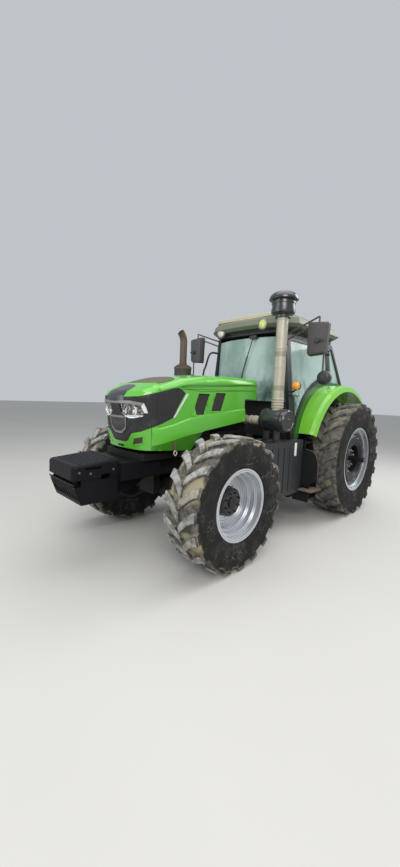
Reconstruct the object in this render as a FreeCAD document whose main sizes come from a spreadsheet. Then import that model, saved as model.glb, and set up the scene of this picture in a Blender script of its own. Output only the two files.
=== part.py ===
"""Farm tractor with four driven wheels and a cab.

Frame: +X forward, +Y to the tractor's left, +Z up, origin on the ground under the middle of its length.
"""

import FreeCAD, Part
import math
import os
import types

import Sketcher
from FreeCAD import Placement, Rotation, Vector

# Driving dimensions, in millimetres and degrees. Places named ..._place count from the rear axle, and
# those of the front frame, ballast, skirt, radiator, bonnet arch, nose and tank fronts from the front axle.
SIZES = {
    # wheels
    "wheelbase": 2900,
    "front_axle_x": 1310,
    "rear_tyre_radius": 895,
    "rear_tyre_width": 528,
    "rear_tread_width": 480,
    "rear_lug_height": 42,
    "rear_lug_width": 58,
    "rear_lug_count": 21,
    "rear_track": 1970,
    "rear_rim_radius": 483,
    "rear_lip_radius": 508,
    "rear_rim_width": 446,
    "rear_disc_place": 60,
    "rear_hub_radius": 170,
    "rear_hub_reach": 110,
    "front_tyre_radius": 705,
    "front_tyre_width": 430,
    "front_tread_width": 392,
    "front_lug_height": 38,
    "front_lug_width": 50,
    "front_lug_count": 19,
    "front_track": 1950,
    "front_rim_radius": 356,
    "front_lip_radius": 381,
    "front_rim_width": 376,
    "front_disc_place": -20,
    "front_hub_radius": 150,
    "front_hub_reach": 70,
    "rim_wall": 10,
    "disc_wall": 14,
    "rim_step": 30,
    "weight_ring_radius": 400,
    "weight_ring_bore": 220,
    "weight_ring_thickness": 140,
    "bar_axle_radius": 40,
    "bar_axle_reach": 345,
    # clearances
    "running_gap": 0.4,
    "seat_gap": 0.3,
    "panel_gap": 6,
    # front axle and steering
    "kingpin_y": 620,
    "axle_end_radius": 72,
    "axle_end_height": 230,
    "axle_tube_radius": 88,
    "axle_bowl_radius": 165,
    "axle_bowl_width": 420,
    "trunnion_radius": 70,
    "ear_thickness": 48,
    "ear_width": 150,
    "carrier_plate_y": 702,
    "carrier_plate_thickness": 44,
    "carrier_plate_width": 230,
    "carrier_drum_radius": 138,
    "knuckle_end_y": 800,
    # front frame and ballast
    "frame_front_place": 400,
    "frame_rear_place": -460,
    "frame_half_width": 230,
    "frame_bottom": 890,
    "frame_top": 1100,
    "hanger_length": 90,
    "hanger_bottom": 640,
    "hanger_half_width": 140,
    "hanger_spread": 250,
    "carrier_half_width": 340,
    "carrier_height": 180,
    "keel_depth": 160,
    "keel_slope": 330,
    "keel_half_width": 190,
    "ballast_rear_place": 900,
    "ballast_length": 470,
    "ballast_half_width": 297,
    "ballast_top": 1150,
    "ballast_nose_drop": 40,
    "ballast_height": 420,
    "ballast_block_height": 175,
    "ballast_toe": 85,
    "ballast_round": 55,
    "ballast_edge_round": 30,
    "skirt_rear_place": 60,
    "skirt_front_place": 650,
    "skirt_half_width": 372,
    "skirt_height": 68,
    # engine and drive line
    "engine_half_width": 280,
    "engine_top": 1760,
    "engine_rear_place": 1760,
    "sump_bottom": 700,
    "radiator_rear_place": 160,
    "radiator_length": 240,
    "radiator_half_width": 350,
    "radiator_height": 620,
    "gearbox_half_width": 200,
    "gearbox_bottom": 585,
    "gearbox_top": 1080,
    "gearbox_rear_place": 560,
    "rear_case_half_width": 270,
    "rear_case_rear_place": -330,
    "rear_case_bottom": 560,
    "rear_case_top": 1235,
    "trumpet_radius": 150,
    "trumpet_end_y": 690,
    "side_beam_width": 90,
    "side_beam_height": 60,
    "cab_mount_radius": 60,
    "cab_mount_y": 430,
    "cab_mount_place": 1260,
    # bonnet
    "bonnet_rear_place": 1720,
    "bonnet_front_place": 500,
    "bonnet_half_width": 438,
    "bonnet_wall": 9,
    "bonnet_bottom": 1175,
    "nose_bottom": 1208,
    "nose_tip_place": 790,
    "bonnet_arch_place": 55,
    "bonnet_arch_top_place": -150,
    "bonnet_arch_top": 1385,
    "bonnet_notch_place": 1978,
    "bonnet_notch_bottom": 1483,
    "bonnet_notch_top": 1783,
    "bonnet_crown": 2085,
    "bonnet_hinge_place": 1700,
    "bonnet_hinge_drop": 105,
    "bonnet_hinge_y": 215,
    "bonnet_lug_radius": 22,
    "bonnet_lug_thickness": 30,
    "lamp_half_width": 375,
    "lamp_height": 145,
    "lamp_rise": 337,
    "grille_half_width": 135,
    "grille_height": 250,
    "grille_lap": 12,
    # cab
    "side_lean": 6.6,
    "sill_z": 1355,
    "sill_y": 785,
    "cab_front_place": 1385,
    "cab_rear_place": -70,
    "cab_waist_rear_place": -420,
    "side_thickness": 50,
    "side_height": 1395,
    "side_drop": 105,
    "waist_height": 720,
    "door_front_place": 1325,
    "door_rear_place": 112,
    "door_bottom": 12,
    "door_top": 1340,
    "door_thickness": 35,
    "door_border": 48,
    "quarter_front_place": 40,
    "quarter_border": 75,
    "glass_thickness": 6,
    "hinge_offset": 14,
    "hinge_setback": 12,
    "hinge_radius": 10,
    "hinge_length": 40,
    "hinge_lug": 16,
    "arch_place": 50,
    "arch_z": 870,
    "arch_radius": 1190,
    "arch_rail": 100,
    "fender_wall": 12,
    "fender_inner_y": 640,
    "fender_outer_y": 1025,
    "fender_shoulder": 70,
    "fender_lip": 95,
    "fender_depth": 520,
    "fender_front_angle": 22.5,
    "fender_sweep": 112.5,
    "floor_z": 1300,
    "floor_thickness": 50,
    "floor_front_place": 1380,
    "floor_step_place": 1200,
    "cowl_height": 460,
    "cowl_thickness": 60,
    "screen_radius": 1440,
    "screen_front_place": 1500,
    "screen_sill": 8,
    "rear_window_border": 45,
    "rear_window_low": 330,
    "rear_window_side": 130,
    "header_height": 60,
    "eave_height": 40,
    "shoulder_height": 80,
    "crown_height": 75,
    "roof_half_width": 795,
    "roof_front_place": 1600,
    "roof_corner_place": 1330,
    "roof_rear_place": -60,
    "roof_inset": 150,
    "roof_board_place": 1360,
    "roof_board_depth": 110,
    "roof_board_height": 45,
    "roof_board_half_width": 580,
    "seat_place": 480,
    "seat_height": 460,
    "seat_half_width": 250,
    "seat_depth": 500,
    "cushion_thickness": 130,
    "backrest_height": 700,
    "backrest_thickness": 110,
    "column_place": 1120,
    "console_half_width": 165,
    "steering_ring_radius": 205,
    "steering_ring_place": 1000,
    "steering_ring_height": 710,
    # equipment
    "tank_rear_place": 1160,
    "tank_front_place": -750,
    "tank_toe_place": -945,
    "tank_inner_y": 500,
    "tank_outer_y": 900,
    "tank_bottom": 500,
    "tank_top": 1243,
    "tank_toe_height": 440,
    "tank_round": 55,
    "step_depth": 230,
    "step_width": 310,
    "step_outer_y": 1010,
    "step_bottom": 350,
    "step_rise": 270,
    "step_tread": 30,
    "step_cheek": 12,
    "canister_place": 1770,
    "canister_z": 1525,
    "canister_radius": 146,
    "canister_inner_y": 470,
    "canister_outer_y": 1000,
    "stack_y": 800,
    "stack_radius": 73,
    "stack_height": 1305,
    "precleaner_height": 310,
    "precleaner_radius": 150,
    "precleaner_cap_radius": 182,
    "intake_radius": 52,
    "intake_offset": 60,
    "muffler_place": 2213,
    "muffler_y": 572,
    "muffler_radius": 125,
    "muffler_bottom": 1330,
    "muffler_height": 920,
    "muffler_link_radius": 45,
    "tailpipe_radius": 52,
    "tailpipe_wall": 5,
    "tailpipe_height": 330,
    "tailpipe_bend_radius": 175,
    "tailpipe_bend_angle": 50,
    "mirror_place": 1400,
    "mirror_inner_y": 975,
    "mirror_width": 275,
    "mirror_bottom": 2375,
    "mirror_height": 440,
    "mirror_depth": 80,
    "mirror_arm_radius": 11,
    "mirror_arm_gap": 75,
    "mirror_arm_rise": 60,
    "mirror_foot": 14,
    "round_mirror_radius": 90,
    "round_mirror_z": 2095,
    # rear linkage
    "rockshaft_place": -290,
    "rockshaft_z": 1080,
    "rockshaft_radius": 45,
    "lift_arm_length": 300,
    "lift_arm_inner_y": 296,
    "lift_arm_thickness": 40,
    "lift_arm_root": 72,
    "lift_arm_eye": 36,
    "lower_link_place": -150,
    "lower_link_z": 520,
    "lower_link_y": 330,
    "lower_link_length": 905,
    "lower_link_pin_place": 430,
    "link_end_y": 482.5,
    "link_end_radius": 35,
    "link_end_bore": 18.5,
    "link_end_width": 45,
    "link_thickness": 34,
    "link_depth": 70,
    "link_pin_radius": 18,
    "rod_pin_radius": 12,
    "rod_eye_bore": 21,
    "rod_eye_thickness": 26,
    "rod_gap": 6,
    "lift_rod_radius": 20,
    "drawbar_bore": 16,
    "drawbar_thickness": 36,
    "drawbar_width": 90,
    "drawbar_z": 400,
    "drawbar_rear_place": -810,
    "drawbar_front_place": 420,
    "pto_radius": 17.5,
    "pto_length": 100,
    "pto_z": 700,
    "top_link_bore": 16,
    "top_link_z": 860,
}


class Size:
    """A number together with the sheet formula that gives it."""

    def __init__(self, value, formula):
        self.value = float(value)
        self.formula = formula

    def __add__(self, other):
        return Size(self.value + number(other), f"({self.formula} + {formula(other)})")

    def __radd__(self, other):
        return Size(number(other) + self.value, f"({formula(other)} + {self.formula})")

    def __sub__(self, other):
        return Size(self.value - number(other), f"({self.formula} - {formula(other)})")

    def __rsub__(self, other):
        return Size(number(other) - self.value, f"({formula(other)} - {self.formula})")

    def __mul__(self, other):
        return Size(self.value * number(other), f"({self.formula} * {formula(other)})")

    def __rmul__(self, other):
        return Size(number(other) * self.value, f"({formula(other)} * {self.formula})")

    def __truediv__(self, other):
        return Size(self.value / number(other), f"({self.formula} / {formula(other)})")

    def __neg__(self):
        return Size(-self.value, f"(-1 * {self.formula})")


def number(size):
    return size.value if isinstance(size, Size) else float(size)


def formula(size):
    return size.formula if isinstance(size, Size) else repr(float(size))


def fill_sheet(document):
    """Puts every driving dimension in the sheet, with its name as alias, and returns them by name."""
    sheet = document.addObject("Spreadsheet::Sheet", "Sizes")
    for row, (name, value) in enumerate(SIZES.items(), 1):
        sheet.set(f"A{row}", name)
        sheet.set(f"B{row}", str(value))
        sheet.setAlias(f"B{row}", name)
    document.recompute()
    return types.SimpleNamespace(**{n: Size(sheet.get(n), "Sizes." + n) for n in SIZES})


doc = FreeCAD.newDocument("Tractor")
d = fill_sheet(doc)
front_x = d.front_axle_x
rear_x = d.front_axle_x - d.wheelbase
nodes = {}


def cosine(angle):
    return math.cos(math.radians(number(angle)))


def sine(angle):
    return math.sin(math.radians(number(angle)))


def bind(thing, path, size):
    thing.setExpression(path, formula(size))


def place(thing, x=0, y=0, z=0, axis=None, angle=0):
    """Binds an object's Placement: its base, and a turn about an axis where one is given."""
    if axis is not None:
        thing.Placement = Placement(Vector(0, 0, 0), Rotation(axis, number(angle)))
    for letter, size in zip("xyz", (x, y, z)):
        bind(thing, f"Placement.Base.{letter}", size)
    if isinstance(angle, Size):
        bind(thing, "Placement.Rotation.Angle", angle)
    return thing


def node(label, thing):
    """Names a finished sub-part: its Label is its file's name."""
    thing.Label = label
    nodes[label] = thing
    return thing


def new_body():
    return doc.addObject("PartDesign::Body", "Body")


def sketch_on(owner, role, offset):
    """An empty sketch on one of the body's own planes, at a bound offset."""
    plane = next(f for f in owner.Origin.OriginFeatures if f.Role == role)
    sketch = owner.newObject("Sketcher::SketchObject", "Outline")
    sketch.AttachmentSupport = [(plane, "")]
    sketch.MapMode = "FlatFace"
    bind(sketch, "AttachmentOffset.Base.z", offset)
    return sketch


def outline(owner, role, points, offset=0):
    """A closed sketch of straight lines, with each corner bound to its sizes."""
    sketch = sketch_on(owner, role, offset)
    corners = [Vector(number(u), number(v), 0) for u, v in points]
    count = len(corners)
    lines = [Part.LineSegment(corners[i], corners[(i + 1) % count]) for i in range(count)]
    sketch.addGeometry(lines, False)
    joins = [Sketcher.Constraint("Coincident", i, 2, (i + 1) % count, 1) for i in range(count)]
    sketch.addConstraint(joins)
    for kind, column in (("DistanceX", 0), ("DistanceY", 1)):
        limits = [Sketcher.Constraint(kind, -1, 1, i, 1, number(points[i][column])) for i in range(count)]
        rows = sketch.addConstraint(limits)
        for row, point in zip(rows, points):
            sketch.setExpression(f"Constraints[{row}]", formula(point[column]))
    return sketch


def pad(owner, role, points, start, length):
    """A pad of a polygon that grows along its plane's normal from start."""
    feature = owner.newObject("PartDesign::Pad", "Pad")
    feature.Profile = outline(owner, role, points, start)
    bind(feature, "Length", length)
    return owner


def prism_across(points, inner_y, outer_y):
    """A body whose side profile of (x, z) points runs from inner_y to outer_y."""
    return pad(new_body(), "XZ_Plane", points, -1 * outer_y, outer_y - inner_y)


def prism_along(points, rear, front):
    """A body whose front profile of (y, z) points runs from rear to front in X."""
    return pad(new_body(), "YZ_Plane", points, rear, front - rear)


def prism_up(points, bottom, top):
    """A body whose plan of (x, y) points runs from bottom to top."""
    return pad(new_body(), "XY_Plane", points, bottom, top - bottom)


def turned(points, sweep=360):
    """A body turned about its own Y axis from (radius, y) points."""
    owner = new_body()
    feature = owner.newObject("PartDesign::Revolution", "Turned")
    sketch = outline(owner, "XY_Plane", points)
    feature.Profile = sketch
    feature.ReferenceAxis = (sketch, ["V_Axis"])
    feature.Angle = number(sweep)
    if isinstance(sweep, Size):
        bind(feature, "Angle", sweep)
    return owner


def upright(thing, x, y, z=0):
    """Stands a turned body up, so that its own Y axis points up."""
    return place(thing, x, y, z, Vector(1, 0, 0), 90)


def box(x, y, z):
    """A block from three (low, high) pairs."""
    block = doc.addObject("Part::Box", "Block")
    for path, pair in (("Length", x), ("Width", y), ("Height", z)):
        bind(block, path, pair[1] - pair[0])
    return place(block, x[0], y[0], z[0])


def both_sides(half):
    """The (low, high) pair of a width that lies evenly on both sides."""
    return -1 * half, half


def rod(radius, length, x, y, z, axis="Z"):
    """A cylinder that starts at a point and runs along +X, +Y or +Z."""
    cylinder = doc.addObject("Part::Cylinder", "Rod")
    bind(cylinder, "Radius", radius)
    bind(cylinder, "Height", length)
    turn = {"X": (Vector(0, 1, 0), 90), "Y": (Vector(1, 0, 0), -90), "Z": (None, 0)}[axis]
    return place(cylinder, x, y, z, *turn)


def shaped(shape):
    """An object that holds a shape made from the sheet's sizes."""
    thing = doc.addObject("Part::Feature", "Shaped")
    thing.Shape = shape
    return thing


def strut(start, end, radius):
    """A round bar between two points."""
    first = Vector(*(number(c) for c in start))
    last = Vector(*(number(c) for c in end))
    return shaped(Part.makeCylinder(number(radius), (last - first).Length, first, last - first))


def fuse(*shapes):
    joined = doc.addObject("Part::MultiFuse", "Joined")
    joined.Shapes = list(shapes)
    joined.Refine = True
    return joined


def cut(base, *tools):
    for tool in tools:
        result = doc.addObject("Part::Cut", "Cut")
        result.Base = base
        result.Tool = tool
        base = result
    return base


def common(base, tool):
    result = doc.addObject("Part::Common", "Common")
    result.Base = base
    result.Tool = tool
    return result


def mirrored(thing):
    """The same piece on the tractor's other side."""
    other = doc.addObject("Part::Mirroring", "Mirrored")
    other.Source = thing
    other.Normal = Vector(0, 1, 0)
    return other


def pair(name, thing):
    """A left node and its mirror image on the right."""
    node(name + "_left", thing)
    node(name + "_right", mirrored(thing))


def both(thing):
    """One object from a piece and its mirror image."""
    return fuse(thing, mirrored(thing))


def across_plan(half):
    """A full outline from its half on the left, closed by the half's mirror image."""
    return half + [(x, -1 * y) for x, y in reversed(half)]


def across_front(half):
    """A full front profile from the (y, z) points of its left half."""
    return [(-1 * y, z) for y, z in reversed(half)] + half


def round_edges(thing, radius, wanted):
    """Rounds the edges that the test wants."""
    doc.recompute()
    count = len(thing.Shape.Edges)
    feature = doc.addObject("Part::Fillet", "Rounded")
    feature.Base = thing
    size = number(radius)
    feature.Edges = [(i + 1, size, size) for i in range(count) if wanted(thing.Shape.Edges[i])]
    return feature


def runs_along(edge, axis):
    """Whether a straight edge runs along an axis."""
    first = edge.Vertexes[0].Point
    last = edge.Vertexes[-1].Point
    return first != last and abs((last - first).normalize().dot(axis)) > 0.999


def wheel_sizes(end):
    """The sizes of the front or rear wheels, by their short names."""
    start = end + "_"
    return types.SimpleNamespace(**{n[len(start):]: getattr(d, n) for n in SIZES if n.startswith(start)})


# flat sides round a tyre's carcass
TYRE_SIDES = 32


def flat_solid(loops):
    """A solid from the corner loops of its flat faces."""
    faces = [Part.Face(Part.makePolygon(loop + loop[:1])) for loop in loops]
    solid = Part.makeSolid(Part.makeShell(faces))
    return solid if solid.Volume > 0 else solid.reversed()


def faceted_ring(profile):
    """A ring with flat sides from (radius, y) points, whose corners lie on those radii."""
    turns = [2 * math.pi * i / TYRE_SIDES for i in range(TYRE_SIDES)]
    rings = [[Vector(r * math.cos(t), y, r * math.sin(t)) for t in turns] for r, y in profile]
    loops = []
    for first, second in zip(rings, rings[1:] + rings[:1]):
        for i in range(TYRE_SIDES):
            j = (i + 1) % TYRE_SIDES
            loops.append([first[i], first[j], second[j], second[i]])
    return flat_solid(loops)


def lug(wheel, side):
    """One tread lug at the top of the wheel, from near the middle line out over the shoulder."""
    tip = wheel.tyre_radius.value
    root = tip - wheel.lug_height.value - 25
    half = wheel.tread_width.value / 2
    ends = []
    # share of the half tread, place along the tread, share of the lug's width, further depth of its root
    for out, along, width, depth in ((0.03, 0.38, 0.62, 0), (1.0, -0.38, 1.05, 45)):
        y = side * out * half
        centre = along * half
        span = width * wheel.lug_width.value / 2
        top = math.sqrt(tip**2 - (abs(centre) + span) ** 2)
        low = root - depth
        foot = 1.35 * span
        corners = ((centre - foot, low), (centre + foot, low), (centre + span, top), (centre - span, top))
        ends.append([Vector(x, y, z) for x, z in corners])
    inner, outer = ends
    loops = [inner, outer]
    for i in range(4):
        j = (i + 1) % 4
        loops.append([inner[i], inner[j], outer[j]])
        loops.append([inner[i], outer[j], outer[i]])
    return flat_solid(loops)


def tyre(wheel):
    """Tyre with flat carcass sides, beads that sit in the rim, and two rows of slanted lugs."""
    clear = 1 / math.cos(math.pi / TYRE_SIDES)
    seat = (wheel.rim_radius + d.seat_gap).value * clear
    lip = (wheel.lip_radius + d.seat_gap).value * clear
    bead = (wheel.rim_width / 2 - d.seat_gap).value
    carcass = (wheel.tyre_radius - wheel.lug_height).value
    wall = wheel.tyre_width.value / 2
    tread = wheel.tread_width.value / 2
    bulge = (lip + carcass) / 2
    half = [(seat, bead), (lip, bead), (bulge, wall), (carcass - 40, wall - 8), (carcass, 0.8 * tread)]
    ring = faceted_ring(half + [(r, -y) for r, y in reversed(half)])
    count = int(wheel.lug_count.value)
    lugs = []
    for row, side in enumerate((1, -1)):
        model = lug(wheel, side)
        for i in range(count):
            one = model.copy()
            one.rotate(Vector(0, 0, 0), Vector(0, 1, 0), (i + row / 2) * 360 / count)
            lugs.append(one)
    solid = ring.fuse(lugs)
    # a lug's outer corner stands on the ground
    lowest = max(solid.Vertexes, key=lambda v: math.hypot(v.X, v.Z))
    solid.rotate(Vector(0, 0, 0), Vector(0, 1, 0), math.degrees(math.atan2(lowest.Z, lowest.X)) + 90)
    return shaped(solid)


def rim(wheel):
    """Steel rim with a stepped dish down to its disc."""
    width = wheel.rim_width / 2
    lip = width + d.rim_wall
    inside = wheel.rim_radius - d.rim_wall
    disc = wheel.disc_place
    back = disc - d.disc_wall
    bore = wheel.hub_radius - d.seat_gap
    step = (width - disc) / 3
    bowl = inside - 2 * d.rim_step
    points = [
        (wheel.lip_radius, lip),
        (wheel.lip_radius, width),
        (wheel.rim_radius, width),
        (wheel.rim_radius, -1 * width),
        (wheel.lip_radius, -1 * width),
        (wheel.lip_radius, -1 * lip),
        (inside, -1 * lip),
        (bowl, back - d.rim_step),
        (bowl - d.rim_step, back),
        (bore, back),
        (bore, disc),
        (bowl, disc),
        (bowl, disc + step),
        (bowl + d.rim_step, disc + step),
        (bowl + d.rim_step, disc + 2 * step),
        (inside, disc + 2 * step),
        (inside, lip),
    ]
    return turned(points)


def front_hub(wheel):
    """Planetary hub, with the flange that carries the disc."""
    start = d.knuckle_end_y + d.running_gap - wheel.track / 2
    flange = wheel.disc_place - d.disc_wall
    neck = wheel.hub_radius - 12
    points = [
        (0, start),
        (neck, start),
        (neck, flange - 24),
        (wheel.hub_radius + 40, flange - 24),
        (wheel.hub_radius + 40, flange),
        (wheel.hub_radius, flange),
        (wheel.hub_radius, wheel.hub_reach - 18),
        (wheel.hub_radius - 22, wheel.hub_reach),
        (0, wheel.hub_reach),
    ]
    return turned(points)


def rear_hub(wheel):
    """Hub with the bar axle that stands out of the wheel."""
    start = d.trumpet_end_y + d.running_gap - wheel.track / 2
    flange = wheel.disc_place - d.disc_wall
    neck = wheel.hub_radius - 50
    points = [
        (0, start),
        (neck, start),
        (neck, flange - 30),
        (wheel.hub_radius + 60, flange - 30),
        (wheel.hub_radius + 60, flange),
        (wheel.hub_radius, flange),
        (wheel.hub_radius, wheel.hub_reach),
        (d.bar_axle_radius, wheel.hub_reach),
        (d.bar_axle_radius, d.bar_axle_reach),
        (0, d.bar_axle_reach),
    ]
    return turned(points)


def wheel_weight(wheel):
    """Cast ballast ring bolted to the rear disc."""
    start = wheel.disc_place
    end = start + d.weight_ring_thickness
    outer = d.weight_ring_radius
    foot = outer - 60
    bore = d.weight_ring_bore
    points = [
        (bore, start),
        (foot, start),
        (foot, end - 60),
        (outer, end - 60),
        (outer, end - 22),
        (outer - 25, end),
        (bore + 70, end),
        (bore + 40, end - 30),
        (bore, end - 30),
    ]
    return turned(points)


def wheels():
    """Two steered front wheels and two rear wheels."""
    front = wheel_sizes("front")
    rear = wheel_sizes("rear")
    pieces = (
        ("tyre_front", tyre(front), front, front_x),
        ("rim_front", fuse(rim(front), front_hub(front)), front, front_x),
        ("tyre_rear", tyre(rear), rear, rear_x),
        ("rim_rear", fuse(rim(rear), rear_hub(rear)), rear, rear_x),
        ("wheel_weight", wheel_weight(rear), rear, rear_x),
    )
    for name, thing, wheel, x in pieces:
        place(thing, x, wheel.track / 2, wheel.tyre_radius)
        pair(name, thing)


def swing_pin(radius, extra):
    """The front axle's swing pin along X, or the room for it, this much longer at each end."""
    reach = d.hanger_spread + d.hanger_length + extra
    return rod(radius, 2 * reach, front_x - reach, 0, d.front_tyre_radius, "X")


def front_axle():
    """Driven front axle: a beam turned about Y, with a cylinder at each end for the kingpins."""
    tube = d.axle_tube_radius
    bowl = d.axle_bowl_width / 2
    half = [(0, d.kingpin_y), (tube - 14, d.kingpin_y), (tube, bowl + 130), (d.axle_bowl_radius, bowl)]
    beam = turned(across_plan(half))
    place(beam, front_x, 0, d.front_tyre_radius)
    low = d.front_tyre_radius - d.axle_end_height / 2
    end = rod(d.axle_end_radius, d.axle_end_height, front_x, d.kingpin_y, low)
    return fuse(beam, end, mirrored(end), swing_pin(d.trunnion_radius, 0))


def knuckle():
    """Steering knuckle: two ears about the kingpin, a plate, and the drum that carries the hub."""
    z = d.front_tyre_radius
    reach = d.axle_end_height / 2 + d.running_gap
    plate_end = d.carrier_plate_y + d.carrier_plate_thickness
    tall = reach + d.ear_thickness
    half = d.ear_width / 2
    ears = []
    for low in (z + reach, z - tall):
        ears.append(rod(half, d.ear_thickness, front_x, d.kingpin_y, low))
        tall_ear = (low, low + d.ear_thickness)
        ears.append(box((front_x - half, front_x + half), (d.kingpin_y, plate_end), tall_ear))
    half = d.carrier_plate_width / 2
    plate = box((front_x - half, front_x + half), (d.carrier_plate_y, plate_end), (z - tall, z + tall))
    drum = rod(d.carrier_drum_radius, d.knuckle_end_y - plate_end, front_x, plate_end, z, "Y")
    return fuse(plate, drum, *ears)


def front_frame():
    """Cast bolster over the front axle, with hangers that hold the axle's swing pin."""
    ends = (front_x + d.frame_rear_place, front_x + d.frame_front_place)
    parts = [box(ends, both_sides(d.frame_half_width), (d.frame_bottom, d.frame_top))]
    for direction in (-1, 1):
        centre = front_x + direction * (d.hanger_spread + d.hanger_length / 2)
        ends = (centre - d.hanger_length / 2, centre + d.hanger_length / 2)
        parts.append(box(ends, both_sides(d.hanger_half_width), (d.hanger_bottom, d.frame_bottom)))
    return cut(fuse(*parts), swing_pin(d.trunnion_radius + d.running_gap, 5))


def weight_carrier():
    """Bracket between the front frame and the front weight, with a keel underneath."""
    rear = front_x + d.frame_front_place
    front = front_x + d.ballast_rear_place
    low = d.frame_top - d.carrier_height
    upper = box((rear, front), both_sides(d.carrier_half_width), (low, d.frame_top))
    keel_low = low - d.keel_depth
    keel = [(rear, low), (rear + d.keel_slope, keel_low), (front, keel_low), (front, low)]
    return fuse(upper, prism_across(keel, *both_sides(d.keel_half_width)))


def front_weight():
    """Front weight: an upper block on a lower one with a cut-back toe, rounded, with pockets in its sides."""
    rear = front_x + d.ballast_rear_place
    front = rear + d.ballast_length
    top = d.ballast_top
    split = top - d.ballast_block_height
    bottom = top - d.ballast_height
    groove = 35
    block = prism_across(
        [(rear, split), (front, split), (front, top - d.ballast_nose_drop), (rear, top)],
        *both_sides(d.ballast_half_width),
    )
    corner_x = (rear + d.ballast_length / 2).value
    upper = round_edges(
        block, d.ballast_round, lambda e: runs_along(e, Vector(0, 0, 1)) and e.BoundBox.XMin > corner_x
    )
    rim_z = (top - d.ballast_nose_drop - 5).value
    upper = round_edges(
        upper, d.ballast_edge_round, lambda e: e.BoundBox.ZMin > rim_z and e.BoundBox.XMax > rear.value + 5
    )
    lower = prism_across(
        [
            (rear, bottom),
            (front - d.ballast_toe, bottom),
            (front - 8, split - groove),
            (front - groove, split - groove),
            (front - groove, split + 1),
            (rear, split + 1),
        ],
        *both_sides(d.ballast_half_width - 12),
    )
    side = d.ballast_half_width
    # start and end along the weight, bottom and top under its top, depth from its side
    pockets = ((90, 190, 195, 140, 90), (385, 455, 240, 178, 60), (190, 350, 85, 60, 25))
    holes = []
    for start, end, low, high, deep in pockets:
        holes.append(box((rear + start, rear + end), (side - deep, side + 20), (top - low, top - high)))
    hollow = fuse(*holes)
    return cut(fuse(upper, lower), hollow, mirrored(hollow))


def engine():
    """Engine as one plain block with its sump, the radiator, and the skirt that the radiator stands on."""
    rear = rear_x + d.engine_rear_place
    frame = front_x + d.frame_rear_place
    front = front_x + d.skirt_rear_place
    block = [
        (rear, d.sump_bottom),
        (frame, d.sump_bottom),
        (frame, d.frame_top),
        (front, d.frame_top),
        (front, d.engine_top),
        (rear, d.engine_top),
    ]
    node("engine_block", prism_across(block, *both_sides(d.engine_half_width)))
    skirt_top = d.frame_top + d.skirt_height
    ends = (front, front_x + d.skirt_front_place)
    node("radiator_skirt", box(ends, both_sides(d.skirt_half_width), (d.frame_top, skirt_top)))
    start = front_x + d.radiator_rear_place
    ends = (start, start + d.radiator_length)
    tall = (skirt_top, skirt_top + d.radiator_height)
    node("radiator", box(ends, both_sides(d.radiator_half_width), tall))


def cab_mount(x, y, z):
    """A round pillar from inside its casting up to the cab's floor."""
    return rod(d.cab_mount_radius, d.floor_z - d.floor_thickness - d.seat_gap - z, x, y, z)


def gearbox():
    """Gearbox with the cab's front mounts on it."""
    ends = (rear_x + d.gearbox_rear_place, rear_x + d.engine_rear_place)
    case = box(ends, both_sides(d.gearbox_half_width), (d.gearbox_bottom, d.gearbox_top))
    y = d.gearbox_half_width - d.cab_mount_radius
    return fuse(case, both(cab_mount(rear_x + d.cab_mount_place, y, d.gearbox_top - 20)))


def rear_axle_case():
    """Rear axle case with its trumpets, cab mounts, link brackets and pins, drive stub and top link ears."""
    side = d.rear_case_half_width
    tail = rear_x + d.rear_case_rear_place
    ends = (tail, rear_x + d.gearbox_rear_place)
    case = box(ends, both_sides(side), (d.rear_case_bottom, d.rear_case_top))
    neck = d.trumpet_radius - 20
    end = d.trumpet_end_y
    half = [(d.trumpet_radius + 40, side), (neck, end - 60), (neck, end), (0, end)]
    trumpet = turned([(r, -1 * y) for r, y in reversed(half)] + half)
    place(trumpet, rear_x, 0, d.rear_tyre_radius)
    link_x = rear_x + d.lower_link_place
    link_z = d.lower_link_z
    top = d.rear_case_bottom + 40
    link_inside = d.lower_link_y - d.link_end_width / 2 - 5
    corners = [(link_x - 90, top), (link_x - 50, link_z - 45), (link_x + 50, link_z - 45), (link_x + 90, top)]
    bracket = prism_across(corners, side - 40, link_inside)
    pin = rod(d.link_pin_radius, d.link_end_width + 23, link_x, link_inside - 10, link_z, "Y")
    stub = rod(d.pto_radius, d.pto_length + 20, tail - d.pto_length, 0, d.pto_z, "X")
    z = d.top_link_z
    corners = [(tail, z - 60), (tail, z + 60), (tail - 75, z + 30), (tail - 75, z - 30)]
    inner = d.top_link_bore + 10
    ear = prism_across(corners, inner, inner + 20)
    ears = cut(both(ear), rod(d.top_link_bore, side, tail - 45, side / -2, z, "Y"))
    room = d.rockshaft_radius + d.running_gap
    shaft = rod(room, 2 * side + 10, rear_x + d.rockshaft_place, -1 * side - 5, d.rockshaft_z, "Y")
    mount = cab_mount(rear_x, d.cab_mount_y, d.rear_tyre_radius)
    return cut(fuse(case, trumpet, both(mount), both(bracket), both(pin), stub, ears), shaft)


def side_carrier():
    """Two cross beams under the side tanks, with a pad up to the gearbox."""
    wide = d.side_beam_width
    first = rear_x + d.tank_rear_place + 2 * wide
    second = front_x + d.tank_toe_place - 1.5 * wide
    low = d.tank_bottom - d.side_beam_height
    reach = both_sides(d.tank_outer_y - 40)
    parts = [box((start, start + wide), reach, (low, d.tank_bottom)) for start in (first, second)]
    inner = both_sides(d.gearbox_half_width - 20)
    parts.append(box((first, second + wide), inner, (low, d.gearbox_bottom)))
    return fuse(*parts)


def arc_wire(points, build):
    """A closed wire, straight from point to point, or an arc where a point marked via stands between two."""
    edges = []
    here = points[0]
    through = None
    for point in points[1:] + points[:1]:
        if point[0] == "via":
            through = point[1:]
            continue
        if through:
            edges.append(Part.Arc(build(here), build(through), build(point)).toShape())
        else:
            edges.append(Part.makeLine(build(here), build(point)))
        here = point
        through = None
    return Part.Wire(edges)


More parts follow.
